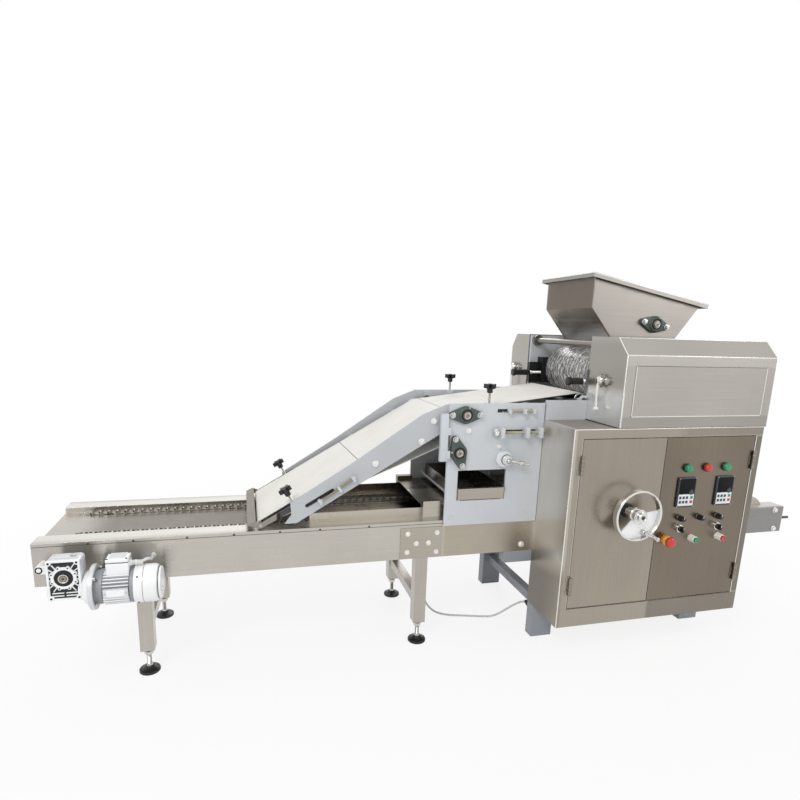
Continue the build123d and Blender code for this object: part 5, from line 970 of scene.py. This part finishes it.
# Two-bolt flange bearings on the side plates and the hopper
bearing_low, bearing_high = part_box("flange_bearings")
bearing_rise = 0.018
plate_face = bearing_low.y + bearing_rise
plate_rear = bearing_high.y - bearing_rise
plate_sides = ((plate_face, FRONT), (plate_rear, BACK))
hopper_sides = ((-0.08825, FRONT), (0.20875, BACK))
bearings = Piece("flange_bearings_detailed")


def flange_bearing(joint, y, toward, angle):
    hub = joint_at[joint]
    spot = set_at((hub.x, y, hub.z), toward, angle if toward == FRONT else math.pi - angle)
    bearings.add(hull_of_discs([(0, 0, 28), (45, 0, 11), (-45, 0, 11)], 10, 2.2), spot, cast_green)
    bearings.turn([(19, 6), (27, 6), (25.4, 11), (23.4, 12.6), (22.4, 15.6), (21.4, 16.6), (19.6, 16.6),
                   (19, 16), (19, 6)], 56, spot, cast_green)
    bearings.turn([(12.8, 5), (19.2, 5), (19.2, 15.6), (18.2, 16), (15.4, 14.4), (12.8, 14.4), (12.8, 5)], 48,
                  spot, black_rubber)
    bearings.turn([(10.1, 4), (13, 4), (13, 16.8), (12.4, 17.8), (10.8, 17.8), (10.1, 17.2), (10.1, 4)], 40,
                  spot, race_steel)
    for side in (-45, 45):
        ear = spot @ Vector((side, 0, 10))
        bearings.turn(stud(9.6, 0.9, 0.6, 0.5, -1), 32, set_at(ear, toward), cast_green)
        bearings.bolt(ear + toward * 0.0006, toward, 13.0, 6.4, turned_by=0.4 + side * 0.01)
    bearings.turn([(0, 0), (3.2, 0), (3.2, 3), (1.6, 4), (2.2, 5.5), (1.0, 7), (0, 7)], 16,
                  set_at(spot @ Vector((9, 22, 10)), toward), screw_pale)


for y, toward in plate_sides:
    flange_bearing("kink_turn", y, toward, 0.0)
    flange_bearing("return_turn", y, toward, math.radians(107))
for y, toward in hopper_sides:
    flange_bearing("agitator_turn", y, toward, math.radians(-10))
bearings.done("machine", "green_cast", "flange_bearings")
for roller, joint in (("kink_roller", "kink_turn"), ("return_roller", "return_turn"),
                      ("agitator", "agitator_turn")):
    for corner, toward in zip(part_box(roller), (FRONT, BACK)):
        shaft_end(roller, joint_at[joint], corner.y, toward, 10.0)


# Lobed black hand knobs on steel studs
for body in ("upper_knob_front", "upper_knob_back", "lower_knob_front", "lower_knob_back"):
    joint = next(j for j in frame["joints"] if j["child"] == body)
    stud_axis = Vector(joint["axis"])
    foot = Vector(joint["pos_m"])
    if body.startswith("upper"):
        foot.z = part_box("front_side_plate")[1].z
    spot = set_at(foot, stud_axis)
    knob = Piece(body + "_lobed")
    knob.turn(thread(4.0, -18, 38, 1.4), 20, spot, screw_steel)
    knob.turn([(0, 31), (7.6, 31), (9, 32.4), (9, 40), (10.5, 45), (0, 45)], 32, spot, black_plastic)
    knob.add(plate(lobes(14.6, 5.9, 5, 80), 14, 2.6, 4), set_at(spot @ Vector((0, 0, 45)), stud_axis),
             black_plastic)
    knob.turn([(0, 58), (7.4, 58), (7.4, 59.4), (6.4, 60.2), (0, 60.4)], 28, spot, black_plastic)
    knob.done(body, "black_plastic", body)


# Clamp screws with ribbed black grips on the bearing blocks
for body, grip in (("front_clamp_screw", 57.0), ("back_clamp_screw", 72.0)):
    low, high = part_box(body)
    middle = centre(body)
    spot = set_at((low.x, middle.y, middle.z), RIGHT)
    rib = (grip - 20) / 5
    ribs = [(0, 0), (11, 0), (13.4, 1), (14, 2.4), (14, 9.8), (13, 11.6), (11.2, 12.6)]
    for index in range(5):
        rise = 15 + rib * index
        ribs += [(11, rise), (11, rise + rib - 3), (10, rise + rib - 2.2), (10, rise + rib - 0.8)]
    ribs += [(11, grip - 5), (10.4, grip - 1.5), (8.6, grip), (0, grip)]
    screw = Piece(body + "_detailed")
    screw.turn(ribs, 36, spot, black_plastic)
    screw.turn(thread(7.0, grip - 1, (high.x - low.x) / MM, 2.0), 24, spot, screw_steel)
    screw.done(body, "black_plastic", body)


# Belt tension screw and cam lever
tension_low, tension_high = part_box("tension_knob")
tension_axis = joint_at["tension_turn"]
spot = set_at((tension_low.x, tension_axis.y, tension_axis.z), RIGHT, math.pi / 2)
tension = Piece("tension_screw_detailed")
tension.add(plate(lobes(9.8, 4.4, 3, 72), 10, 2.4, 3), spot, chrome)
tension.turn(stud(9, 18, 1.2, 2, 8), 32, spot, chrome)
tension.turn(thread(5.0, 17, (tension_high.x - tension_low.x) / MM, 1.6), 24, spot, screw_pale)
tension.done("tension_knob", "steel", "tension_knob")

cam_axis = joint_at["cam_swing"]
cam_hub = Vector((cam_axis.x + 0.007, plate_face - 0.014, cam_axis.z - 0.002))
bar_angle = math.radians(-13)
bar_way = Vector((math.cos(bar_angle), 0, math.sin(bar_angle)))
spot = set_at(cam_hub, FRONT)
cam = Piece("cam_lever_detailed")
cam.turn([(0, -30), (6, -30), (6, 0.2), (27, 0.2), (27, 11.5), (25.5, 13.4), (22, 14), (0, 14)], 56,
         set_at((cam_axis.x, plate_face, cam_axis.z), FRONT), alloy)
cam.turn([(0, 0), (16, 0), (16, 9), (14.6, 10.4), (12.5, 10.4), (12.5, 15), (11, 17), (8, 18), (0, 18)], 48,
         spot, alloy)
# Dark rings round the dish and the hub: painted shade for their outlines
cam.turn(ring(16, 18, 0, 0.6), 48, spot, dark_steel_and_shade)
cam.turn(ring(7, 8.6, 17.4, 18.4), 40, spot, dark_steel_and_shade)
cam.turn(stud(6, 20.4, 1, 0.8, 17.6), 32, spot, screw_steel)
cam.turn([(0, 0), (4, 0), (4, 40), (6.6, 42), (8, 46), (8, 55), (6.6, 59), (4, 61), (4, 76.5), (3, 78),
          (0, 78)], 32, set_at(cam_hub + FRONT * 0.010, bar_way), screw_steel)
cam.done("cam_lever", "grey_paint", "cam_lever")


# Take-up hardware fixed to the plates and beams
hardware = Piece("take_up_hardware")
slot_middle = Vector((-0.529, 0, 0.523))
incline = math.atan2(0.071, 0.106)
take_up_z = 0.352


def adjuster(start, end, y, toward):
    """A long screw between blocks on a plate's outer face."""
    way = (end - start).normalized()
    long = (end - start).length / MM
    near = Vector((start.x, y, start.z)) + toward * 0.008
    hardware.turn(thread(4.0, -2, long + 10, 1.5), 20, set_at(near, way), screw_pale)
    for along, tall in ((0.0, 18), (long * 0.55, 34), (long - 6, 24)):
        hardware.add(slab(16, tall, 9, 1.2), set_at(near + way * along * MM, way, math.pi / 2), plate_paint)
    for along in (long + 3, 9):
        hardware.add(hex_head(11, 5), set_at(near + way * along * MM, way), screw_steel)


for y, toward in beam_sides:
    adjuster(slot_middle + Vector((-0.004, 0, -0.012)), slot_middle + Vector((0.102, 0, 0.059)), y, toward)
    # A dark plate behind each slot: painted shade
    slot_shade_plate = slot_middle + Vector((0.012, y - toward.y * 0.0060, 0.008))
    hardware.add(plate(round_corners(128, 24, 4), 1.2, 0.3, 1),
                 set_at(slot_shade_plate, toward, -toward.y * incline), painted_shade_grey)
for y, toward in plate_sides:
    adjuster(Vector((0.061, 0, 0.785)), Vector((0.151, 0, 0.785)), y, toward)
# A dark strip behind the lower tension rod: painted shade
hardware.add(plate(round_corners(150, 13, 6), 0.6, 0.2, 1),
             set_at((0.106, plate_face, tension_axis.z), FRONT), painted_shade_grey)
for x in (0.039, 0.125, 0.172):
    hardware.add(slab(12, 34, 34, 1.4), set_at((x, plate_face, tension_axis.z), FRONT), plate_paint)
for y, toward in plate_sides:
    for shape, x, z in ((slab(25, 150, 14, 1.6), -0.1485, 0.704), (slab(12, 24, 13.6, 1.2), -0.133, 0.724),
                        (slab(12, 26, 13.6, 1.2), -0.133, 0.650)):
        hardware.add(shape, set_at((x, y, z), toward), plate_paint)
    hardware.turn(thread(3.6, 0, 50, 3.4), 18, set_at((-0.1325, y + toward.y * 0.009, 0.662), UP), dark_steel_and_shade)
for y, toward in beam_sides:
    rod = Vector((trough_high.x, y - toward.y * 0.020, take_up_z))
    hardware.turn(thread(5.0, 0, 52, 1.5), 20, set_at(rod, RIGHT), dark_steel_and_shade)
    hardware.add(hex_head(17, 8), set_at(rod + RIGHT * 0.006, RIGHT), screw_steel)
hardware.done("machine", "grey_paint", "take_ups")


# Handwheel on the left door: rim, web sector, stepped hub, crank pin and turning grip
panel_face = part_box("panel_fittings")[1].y
wheel_axis = joint_at["handwheel_turn"]
rim_back = panel_face - 0.042
web_start = math.radians(8)
web_sweep = math.radians(-140)


def web_sector():
    """Part of a flat ring between the hub and the rim."""
    part = bmesh.new()
    ends = [part.verts.new((radius * math.cos(web_start), radius * math.sin(web_start), 2.0))
            for radius in (12, 75)]
    side = part.edges.new(ends)
    bmesh.ops.spin(part, geom=ends + [side], cent=(0, 0, 0), axis=(0, 0, 1), angle=web_sweep, steps=36)
    grown = bmesh.ops.extrude_face_region(part, geom=part.faces[:])
    bmesh.ops.translate(part, vec=(0, 0, 4.0), verts=verts_of(grown))
    return settled(part)


spot = set_at((wheel_axis.x, rim_back, wheel_axis.z), FRONT)
grip_middle = centre("handwheel_grip")
pin = set_at((grip_middle.x, rim_back, grip_middle.z), FRONT)
wheel = Piece("handwheel_detailed")
wheel.turn([(73, 2.4), (73, 19.6), (74.4, 21.5), (76.5, 22), (78.6, 21.5), (80, 19.6), (80, 2.4),
            (78.6, 0.5), (76.5, 0), (74.4, 0.5), (73, 2.4)], 96, spot, chrome)
wheel.add(web_sector(), spot, alloy_pale)
wheel.turn([(0, -32), (13.6, -32), (15, -30.6), (15, -4), (20.6, -4), (22, -2.6), (22, 5), (20.8, 6.4),
            (18.6, 6.4), (18.6, 19), (22, 20), (22, 24.6), (20.4, 26), (16.4, 26), (15.6, 27), (15, 29),
            (15, 35.6), (13.4, 37.6), (9, 38), (8, 36.6), (0, 36.6)], 56, spot, chrome)
wheel.turn(stud(6.2, 38, 0.8, 0.4, 36), 28, spot, dark_steel_and_shade)
wheel.turn(disc(10, -31, -63), 32, spot, screw_steel)
wheel.turn([(9, -64), (13, -64), (14, -63), (14, -58), (13, -57), (9, -57), (9, -64)], 32, spot, screw_steel)
wheel.turn([(0, 4), (8, 4), (8, 20.8), (7, 22), (4, 22), (4, 73.8), (5.6, 73.8), (6.5, 74.6), (6.5, 77.5),
            (5.4, 78.5), (0, 78.5)], 32, pin, screw_steel)
wheel.done("handwheel", "bright", "handwheel")

grip = Piece("handwheel_grip_barrel")
grip.turn([(4.1, 23.6), (5.2, 23.6), (5.8, 24.6), (6.3, 32), (6.5, 48), (6.3, 64), (5.8, 72.4), (5.2, 73.4),
           (4.1, 73.4), (4.1, 23.6)], 40, pin, chrome)
grip.done("handwheel_grip", "bright", "handwheel_grip")

bush = Piece("wheel_bush")
bush.turn([(10.4, 0), (23, 0), (23, 2.6), (21.6, 3.6), (18.4, 3.8), (17.6, 5), (17.6, 8.6), (16.4, 9.6),
           (11.4, 9.6), (10.4, 8.6), (10.4, 0)], 48,
          set_at((wheel_axis.x, panel_face - 0.0001, wheel_axis.z), FRONT), black_plastic)
bush.done("left_door", "black_plastic")


# Control panel on the right door
lamp_row = 0.626
lamp_places = ((0.609, lens_green), (0.683, lens_red), (0.756, lens_green))
pad_row = 0.546
pad_places = (0.614, 0.761)
key_rows = (-0.0165, -0.031)
speed_knobs = {name: joint_at[name.replace("_knob", "") + "_turn"]
               for name in ("speed_knob_left", "speed_knob_middle", "speed_knob_right")}
selectors = {name: centre(name) for name in ("selector_left", "selector_right")}
buttons = {name: centre(name) for name in ("start_button", "stop_button")}
stop_spot = centre("estop_button")
panel = Piece("panel_fittings_detailed")


def on_panel(place, rise=0.0, x=0.0, z=0.0):
    """A place on the panel's face, in front of a fitting's middle."""
    return set_at((place.x + x, panel_face - rise * MM, place.z + z), FRONT)


for x, lens in lamp_places:
    spot = on_panel(Vector((x, 0, lamp_row)))
    panel.turn([(0, 0), (14.2, 0), (14.2, 3), (13.4, 4), (12.6, 4), (12.6, 6), (0, 6)], 40, spot,
               black_plastic)
    panel.turn([(0, 4), (12.2, 4), (12.9, 5), (12.9, 7), (12.3, 7.6), (12.9, 8.2), (12.7, 10.4), (12.2, 12.6),
                (10.4, 14.6), (6, 15.8), (0, 16)], 48, spot, lens)
for x in pad_places:
    pad = Vector((x, 0, pad_row))
    panel.add(plate(round_corners(66, 98, 4), 7.0, 1.4), on_panel(pad), panel_slate)
    panel.add(plate(round_corners(58, 50, 2), 1.0, 0.4), on_panel(pad, 6.6, 0, 0.0205), panel_black)
    panel.add(plate(round_corners(58, 38, 2), 0.9, 0.3), on_panel(pad, 6.6, 0, -0.0245), keypad_white)
    panel.turn([(0, 0), (8.4, 0), (8.4, 0.9), (7.4, 1.2), (7.4, 1.4), (0, 1.4)], 36,
               on_panel(pad, 7.2, 0.017, 0.001), panel_slate)
    for column in (-0.0215, -0.009, 0.0035):
        for row in key_rows:
            panel.add(plate(round_corners(9.4, 9.4, 1.6, 3), 1.1, 0.4, 1), on_panel(pad, 6.7, column, row),
                      panel_slate)
    for row, lens in zip(key_rows, (lens_green, lens_red)):
        panel.add(plate(round_corners(10.4, 9.4, 1.6, 3), 1.2, 0.4, 1), on_panel(pad, 6.7, 0.0205, row), lens)
    for corner in corners_of(0.0305, 0.0465):
        panel.turn(dome(1.7, 1.5, 0.7, 0.9), 14, on_panel(pad, 6.8, *corner), screw_steel)
for pivot in speed_knobs.values():
    panel.turn([(3.2, 0), (8, 0), (8, 2.2), (7.2, 2.9), (3.2, 2.9), (3.2, 0)], 36, on_panel(pivot),
               screw_steel)
for spot in selectors.values():
    panel.turn([(5.2, 0), (13.4, 0), (13.4, 3), (12.9, 7), (12.2, 9.4), (11.4, 9.8), (5.2, 9.8),
                (5.2, 0)], 48, on_panel(spot), chrome)
for spot in buttons.values():
    panel.turn([(9.2, 0), (12, 0), (12, 3), (11.4, 5), (11, 22), (10.6, 23.4), (9.8, 24), (9.2, 23.2),
                (9.2, 0)], 48, on_panel(spot), collar_white)
panel.turn([(8.2, 0), (16, 0), (16, 9), (15, 10.4), (8.2, 10.4), (8.2, 0)], 48, on_panel(stop_spot),
           cap_orange)
panel.turn([(8.2, 10), (14.6, 10), (14.6, 14.6), (13.6, 15.8), (8.2, 15.8), (8.2, 10)], 48,
           on_panel(stop_spot), cap_yellow)
panel.done("right_door", "black_plastic", "panel_fittings")

for name, cap, slot in (("start_button", lens_green, "green"), ("stop_button", lens_red, "red")):
    button = Piece(name + "_cap")
    button.turn([(0, 4), (8.9, 4), (8.9, 27), (8.3, 28.6), (7.2, 29), (5.8, 28.2), (0, 27.6)], 44,
                on_panel(buttons[name]), cap)
    button.done(name, slot, name)

mushroom = Piece("estop_mushroom")
mushroom.turn([(0, 7), (8, 7), (8, 22), (10.4, 23), (16.2, 23), (17.6, 24.6), (17.6, 29), (17.1, 31.6),
               (15.6, 34.2), (13, 36), (7, 36.8), (0, 37)], 56, on_panel(stop_spot), lens_red)
mushroom.done("estop_button", "red", "estop_button")

for name, spot in selectors.items():
    handle = Piece(name + "_handle")
    handle.turn([(0, 1), (5, 1), (5, 9.9), (9.6, 10), (9.6, 14.4), (8.8, 15.6), (7.4, 16), (0, 16)], 44,
                on_panel(spot), black_plastic)
    handle.add(slab(7, 19, 11, 1.8), on_panel(spot, 15.0), black_plastic)
    handle.add(slab(1.6, 7, 0.4, 0.1, 1), on_panel(spot, 25.8, 0, 0.0045), keypad_white)
    handle.done(name, "black_plastic", name)

for name, pivot in speed_knobs.items():
    fluted = plate(lobes(9.8, 0.4, 20, 120), 20, 1.4)
    bmesh.ops.scale(fluted, vec=(0.74, 0.74, 1), verts=[v for v in fluted.verts if v.co.z > 10])
    knob = Piece(name + "_cone")
    knob.add(fluted, on_panel(pivot, 3.0), black_plastic)
    knob.turn(disc(3, 4), 20, on_panel(pivot, 0.5), screw_steel)
    knob.add(slab(1.6, 8.4, 0.5, 0.1, 1), on_panel(pivot, 22.7, 0, 0.0046), keypad_white)
    knob.done(name, "black_plastic", name)


# Crescent crank levers on the ends of the housings
cranks = {body: joint_at[body + "_swing"] for body in ("front_crank", "back_crank")}
lever_end = Vector((-0.0005, 0, -0.088))
screw_seat = 0.007
screw_circle = 0.0185
bows = [step / 12 for step in range(13)]
crescent = [(-4 - 6 * math.sin(math.pi * bow), 6 - 98 * bow) for bow in bows]
crescent += [(4 - 5 * math.sin(math.pi * bow), 6 - 98 * bow) for bow in reversed(bows)]
for body, pivot in cranks.items():
    lever = Piece(body + "_lever")
    lever.add(plate(crescent, 5, 1.6, 3), set_at(pivot + LEFT * 0.0005, LEFT), collar_white)
    lever.turn([(0, 0), (13.6, 0), (13.6, 9), (12, 11.4), (5, 12), (4.6, 13.4), (0, 13.6)], 40,
               set_at(pivot + RIGHT * 0.006, LEFT), chrome)
    lever.turn(disc(8, 39), 32, set_at(pivot + RIGHT * 0.006, RIGHT), screw_steel)
    lever.turn(stud(6.7, 11.4, 1.1, 1.8), 32, set_at(pivot + lever_end, LEFT), collar_white)
    lever.done(body, "bright", body)

plate_screws = Piece("crank_plate_screws")
for pivot in cranks.values():
    for angle in circle(6, 0.5):
        spot = pivot + Vector((screw_seat, screw_circle * math.cos(angle), screw_circle * math.sin(angle)))
        plate_screws.turn(dome(2.6, 2.4, 1.8, 2.4), 16, set_at(spot, LEFT), dark_steel_and_shade)
plate_screws.done("machine", "steel")


# Folded sheet edges with pale beads standing for the light they catch, as painted highlight, and the seams
# beside them
shell_low, shell_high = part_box("cabinet_shell")
shell_corner = (shell_low.x, panel_face, shell_high.z)
housing_low, housing_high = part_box("front_housing")
house_left = housing_low.x + 0.008
house_right = housing_high.x
house_foot = housing_low.z
house_top = housing_high.z
house_shoulder = 0.973
house_slope = panel_face + 0.049
inset_left = house_left + 0.034
inset_right = house_right - 0.034
inset_foot = house_foot + 0.035
inset_head = house_shoulder - 0.030
inset_face = housing_low.y
door_left = 0.226
door_right = 0.860
door_foot = 0.178
door_head = 0.726
fine_seam = 0.0016
seam = 0.0022
door_seam = 0.0024
rim_left = Vector((0.3425, 0, 1.2218))
rim_right = Vector((0.7935, 0, 1.1390))
rim_front = FRONT * 0.10425
rim_rear = BACK * 0.22475
folds = Piece("folded_sheet_edges")


def fold_line(start, end, inward, size=3.0):
    """A rounded fold along an edge, a little proud of both its faces, in the pale finish of painted
    highlight.
    """
    way = Vector(end) - Vector(start)
    sunk = Vector(start) + Vector(inward) * (size / 2 - 0.4) * MM
    folds.add(slab(size, size, way.length / MM, size * 0.42, 2), set_at(sunk, way), painted_highlight)


def seam_line(x0, x1, z0, z1, y, surface):
    """A thin strip on a front face."""
    folds.add(slab((x1 - x0) / MM, (z1 - z0) / MM, 0.5, 0.15, 1),
              set_at(((x0 + x1) / 2, y, (z0 + z1) / 2), FRONT), surface)


fold_line((shell_low.x, panel_face, shell_low.z), shell_corner, (1, 1, 0))
fold_line(shell_corner, (shell_high.x, panel_face, shell_high.z), (0, 1, -1))
for x, side in ((house_left, 1), (house_right, -1)):
    fold_line((x, panel_face, house_foot), (x, panel_face, house_shoulder), (side, 1, 0))
    fold_line((x, panel_face, house_shoulder), (x, house_slope, house_top), (side, 0.5, -0.5))
for y, z, inward in ((panel_face, house_shoulder, (0, 1, -0.3)), (house_slope, house_top, (0, 0.3, -1))):
    fold_line((house_left, y, z), (house_right, y, z), inward)
# Dark strips at the housing's foot: painted shade under the housing
seam_line(house_left, house_right, house_foot, house_foot + fine_seam, panel_face, dark_steel_and_shade)
folds.add(slab(3.0, 2.4, (housing_high.y - panel_face) / MM, 0.4, 1),
          set_at((house_left, panel_face, house_foot + 0.0012), BACK), painted_shade_grey)
# Pale strips on three sides of the inset as painted highlight, a dark strip on its head as painted shade
seam_line(inset_left, inset_left + seam, inset_foot, inset_head, inset_face, painted_highlight)
seam_line(inset_right - seam, inset_right, inset_foot, inset_head, inset_face, painted_highlight)
seam_line(inset_left, inset_right, inset_foot, inset_foot + seam, inset_face, painted_highlight)
seam_line(inset_left, inset_right, inset_head - fine_seam, inset_head, inset_face, dark_steel_and_shade)
# Door seams: a mid steel strip on the left, a pale strip of painted highlight on the right, a dark joint at
# the foot
seam_line(door_left - door_seam, door_left, door_foot, door_head, panel_face, chain_steel)
seam_line(door_right, door_right + door_seam, door_foot, door_head, panel_face, painted_highlight)
seam_line(door_left, door_right, door_foot - seam, door_foot, panel_face, dark_steel_and_shade)
for side, inward in ((rim_front, BACK), (rim_rear, FRONT)):
    fold_line(rim_left + side, rim_right + side, inward, 4.0)
for end in (rim_left, rim_right):
    fold_line(end + rim_front, end + rim_rear, (0, 0, 0), 4.0)
folds.done("machine", "stainless")


# Cover lip along the beams, with a thin dark strip under it as painted shadow
lip_end = 0.959
lip_row = 0.4252
shadow_line_row = 0.4198
lip_long = (lip_end - trough_low.x) / MM
lip_middle = (trough_low.x + lip_end) / 2
lip = Piece("beam_cover_lip")
for y, toward in beam_sides:
    lip.add(slab(lip_long, 9, 1.0, 0.3, 1), set_at((lip_middle, y - toward.y * 0.0002, lip_row), toward),
            beam_sheet)
    lip.add(slab(lip_long, 1.4, 0.4, 0.1, 1), set_at((lip_middle, y, shadow_line_row), toward), dark_steel_and_shade)
lip.done("machine", "stainless")


# Side cheeks that close the humped chain guards at the tail
tail_top = 0.404
guard_reach = 72.9
guard_start = 0.985
guard_inset = 0.0392
guard_drop = (tail_top - tail_axis.z) / MM
guard_run = (guard_start - tail_axis.x) / MM
guard_turn = math.acos(guard_drop / guard_reach)
cheek = [(guard_run, guard_drop), (guard_run, guard_reach)]
for step in range(15):
    lean = guard_turn * step / 14
    cheek.append((guard_reach * math.sin(lean), guard_reach * math.cos(lean)))
covers = Piece("tail_sprocket_covers")
for y, toward in beam_sides:
    covers.add(plate([(-toward.y * x, z) for x, z in cheek], 1.6, 0.5, 2),
               set_at((tail_axis.x, y - toward.y * guard_inset, tail_axis.z), toward), leg_tube)
covers.done("machine", "stainless")


# Bolts, splice plates, strip screws and hinge barrels
splice_middle = (-0.203, 0.3585)
splice_corner = (-0.273, 0.305)
strip_row = 0.423
plug_row = 0.440
hinge_y = panel_face - 0.0055
barrel = [(5.05, 0), (5.2, 0), (5.4, 0.5), (5.4, 9.4), (5.2, 9.9), (5.05, 9.9), (5.05, 0)]
bolts = Piece("fasteners_detailed")
for y, toward in beam_sides:
    bolts.add(plate(round_corners(140, 103, 1.2, 2), 3, 0.5, 1),
              set_at((splice_middle[0], y, splice_middle[1]), toward), splice_sheet)
    for x, z in ((24, 86), (53, 52), (94, 52), (122, 85), (23, 24), (121, 20)):
        spot = (splice_corner[0] + x * MM, y + toward.y * 0.003, splice_corner[1] + z * MM)
        bolts.bolt(spot, toward, 11.5, 5.0, bolt_bright, 0.3 + x)
    for x in (-1.170, -1.054, -0.911, -0.781, -0.648, -0.528, -0.375):
        bolts.turn([(0, 0), (3.5, 0), (3.3, 1.4), (2.2, 2.6), (0, 3)], 18,
                   set_at((x, y + toward.y * 0.0006, strip_row), toward), dark_steel_and_shade)
    for x, z, deep in ((0.153, 0.328, 6.0), (1.217, 0.392, 6.0), (1.224, 0.318, 6.0),
                       (-0.360, 0.624, 6.4), (-0.216, 0.690, 6.4), (-0.178, 0.754, 6.4)):
        bolts.bolt((x, y, z), toward, 14.0, deep, bolt_bright, x * 9)
for y, toward in plate_sides:
    for x, z, wide in ((0.042, 0.670, 9.0), (-0.065, 0.722, 13.0)):
        bolts.bolt((x, y, z), toward, wide, 5.0, bolt_bright, x * 30)
    for x in (0.153, -0.111):
        bolts.turn([(0, 0), (8, 0), (7.4, 0.8), (3, 1.0), (2.8, 0.5), (0, 0.5)], 28,
                   set_at((x, y, plug_row), toward), plate_paint)
for x in (0.228, 0.858):
    for z in (0.256, 0.645):
        for drop in (-30, -17.8, -5.6, 6.6, 18.8):
            bolts.turn(barrel, 24, set_at((x, hinge_y, z + drop * MM)), chain_shaded)
        bolts.turn(disc(2.5, 60), 16, set_at((x, hinge_y, z - 0.030)), dark_steel_and_shade)
bolts.done("machine", "steel", "fasteners")


# Finishes of the solids that show as they are
# The crest roller is dressed dark as painted shade
dressed = (
    (beam_sheet, "conveyor_trough"), (tunnel_sheet, "tray_tunnel"), (leg_tube, "conveyor_legs"),
    (shell_sheet, "cabinet_shell"), (left_sheet, "left_door"), (right_sheet, "right_door"),
    (housing_sheet, "front_housing", "back_housing"), (drawer_sheet, "crumb_drawer"),
    (hopper_sheet, "hopper"), (shaded_frame_paint, "main_frame"),
    (plate_paint, "front_side_plate", "back_side_plate", "roller_walls"),
    (incline_paint, "incline_plates"), (bed_paint, "belt_bed"),
    (roller_steel, "mould_roller", "feed_roller", "kink_roller", "nose_roller", "return_roller",
     "chain_drive_shaft", "chain_tail_shaft", "agitator", "drive_pinion"),
    (chain_shaded, "tie_rod"), (dark_steel_and_shade, "crest_roller"), (black_steel, "mould_bearing_blocks"),
    (roller_rubber, "rubber_roller"), (alloy, "main_gearmotor"))
for surface, *names in dressed:
    for name in names:
        solid = frame["nodes"][name]
        if not solid.material_slots:
            solid.data.materials.append(surface)
        for held in solid.material_slots:
            held.material = surface


# Pale floor that keeps the shadow, white surroundings and soft lamps
def shows_white(tree):
    """One for the rays that see the background: straight, mirrored or through glass."""
    rays = node(tree, "ShaderNodeLightPath").outputs
    seen = result(tree, "ShaderNodeMath", rays["Is Camera Ray"], rays["Is Glossy Ray"], operation="MAXIMUM")
    return result(tree, "ShaderNodeMath", seen, rays["Is Transmission Ray"], operation="MAXIMUM")


def soft_lamp(name, place, aim, size, power):
    light = bpy.data.lights.new(name, "AREA")
    light.shape = "DISK"
    light.size = size
    light.energy = power
    lamp = bpy.data.objects.new(name, light)
    scene.collection.objects.link(lamp)
    way = Vector(aim) - Vector(place)
    lamp.matrix_world = Matrix.Translation(place) @ way.to_track_quat("-Z", "Y").to_matrix().to_4x4()


floor_mesh = bmesh.new()
bmesh.ops.create_grid(floor_mesh, x_segments=1, y_segments=1, size=40.0)
floor_data = bpy.data.meshes.new("pale_floor")
floor_mesh.to_mesh(floor_data)
floor_mesh.free()
floor = bpy.data.objects.new("pale_floor", floor_data)
scene.collection.objects.link(floor)
floor_white, tree, surface = new_material("pale_floor", Base_Color=(0.86, 0.86, 0.86, 1), Roughness=0.9,
                                          Specular_IOR_Level=0.0)
place = node(tree, "ShaderNodeTexCoord").outputs["Object"]
reach = node(tree, "ShaderNodeVectorMath", place, operation="LENGTH").outputs["Value"]
fade = result(tree, "ShaderNodeMapRange", reach, From_Min=1.0, From_Max=2.6, To_Min=0.84, To_Max=1.0,
              interpolation_type="SMOOTHSTEP")
share = result(tree, "ShaderNodeMath", shows_white(tree), fade, operation="MULTIPLY")
glow = result(tree, "ShaderNodeEmission", Strength=1.0)
shown = result(tree, "ShaderNodeMixShader", share, tree.nodes["Principled BSDF"].outputs[0], glow)
feed(tree, tree.nodes["Material Output"].inputs["Surface"], shown)
floor_data.materials.append(floor_white)

scene.world = bpy.data.worlds.new("studio")
scene.world.use_nodes = True
tree = scene.world.node_tree
sky = tree.nodes["Background"].inputs
sky["Color"].default_value = (1, 1, 1, 1)
feed(tree, sky["Strength"], spanned(tree, shows_white(tree), 0.72, 1.0))
soft_lamp("key_lamp", (-2.4, -2.6, 3.4), (0, 0, 0.5), 1.6, 60)
soft_lamp("fill_lamp", (2.8, -2.2, 2.2), (0.2, 0, 0.6), 1.8, 24)
soft_lamp("rear_lamp", (0.6, 3.0, 3.0), (0.2, 0, 0.7), 1.8, 30)
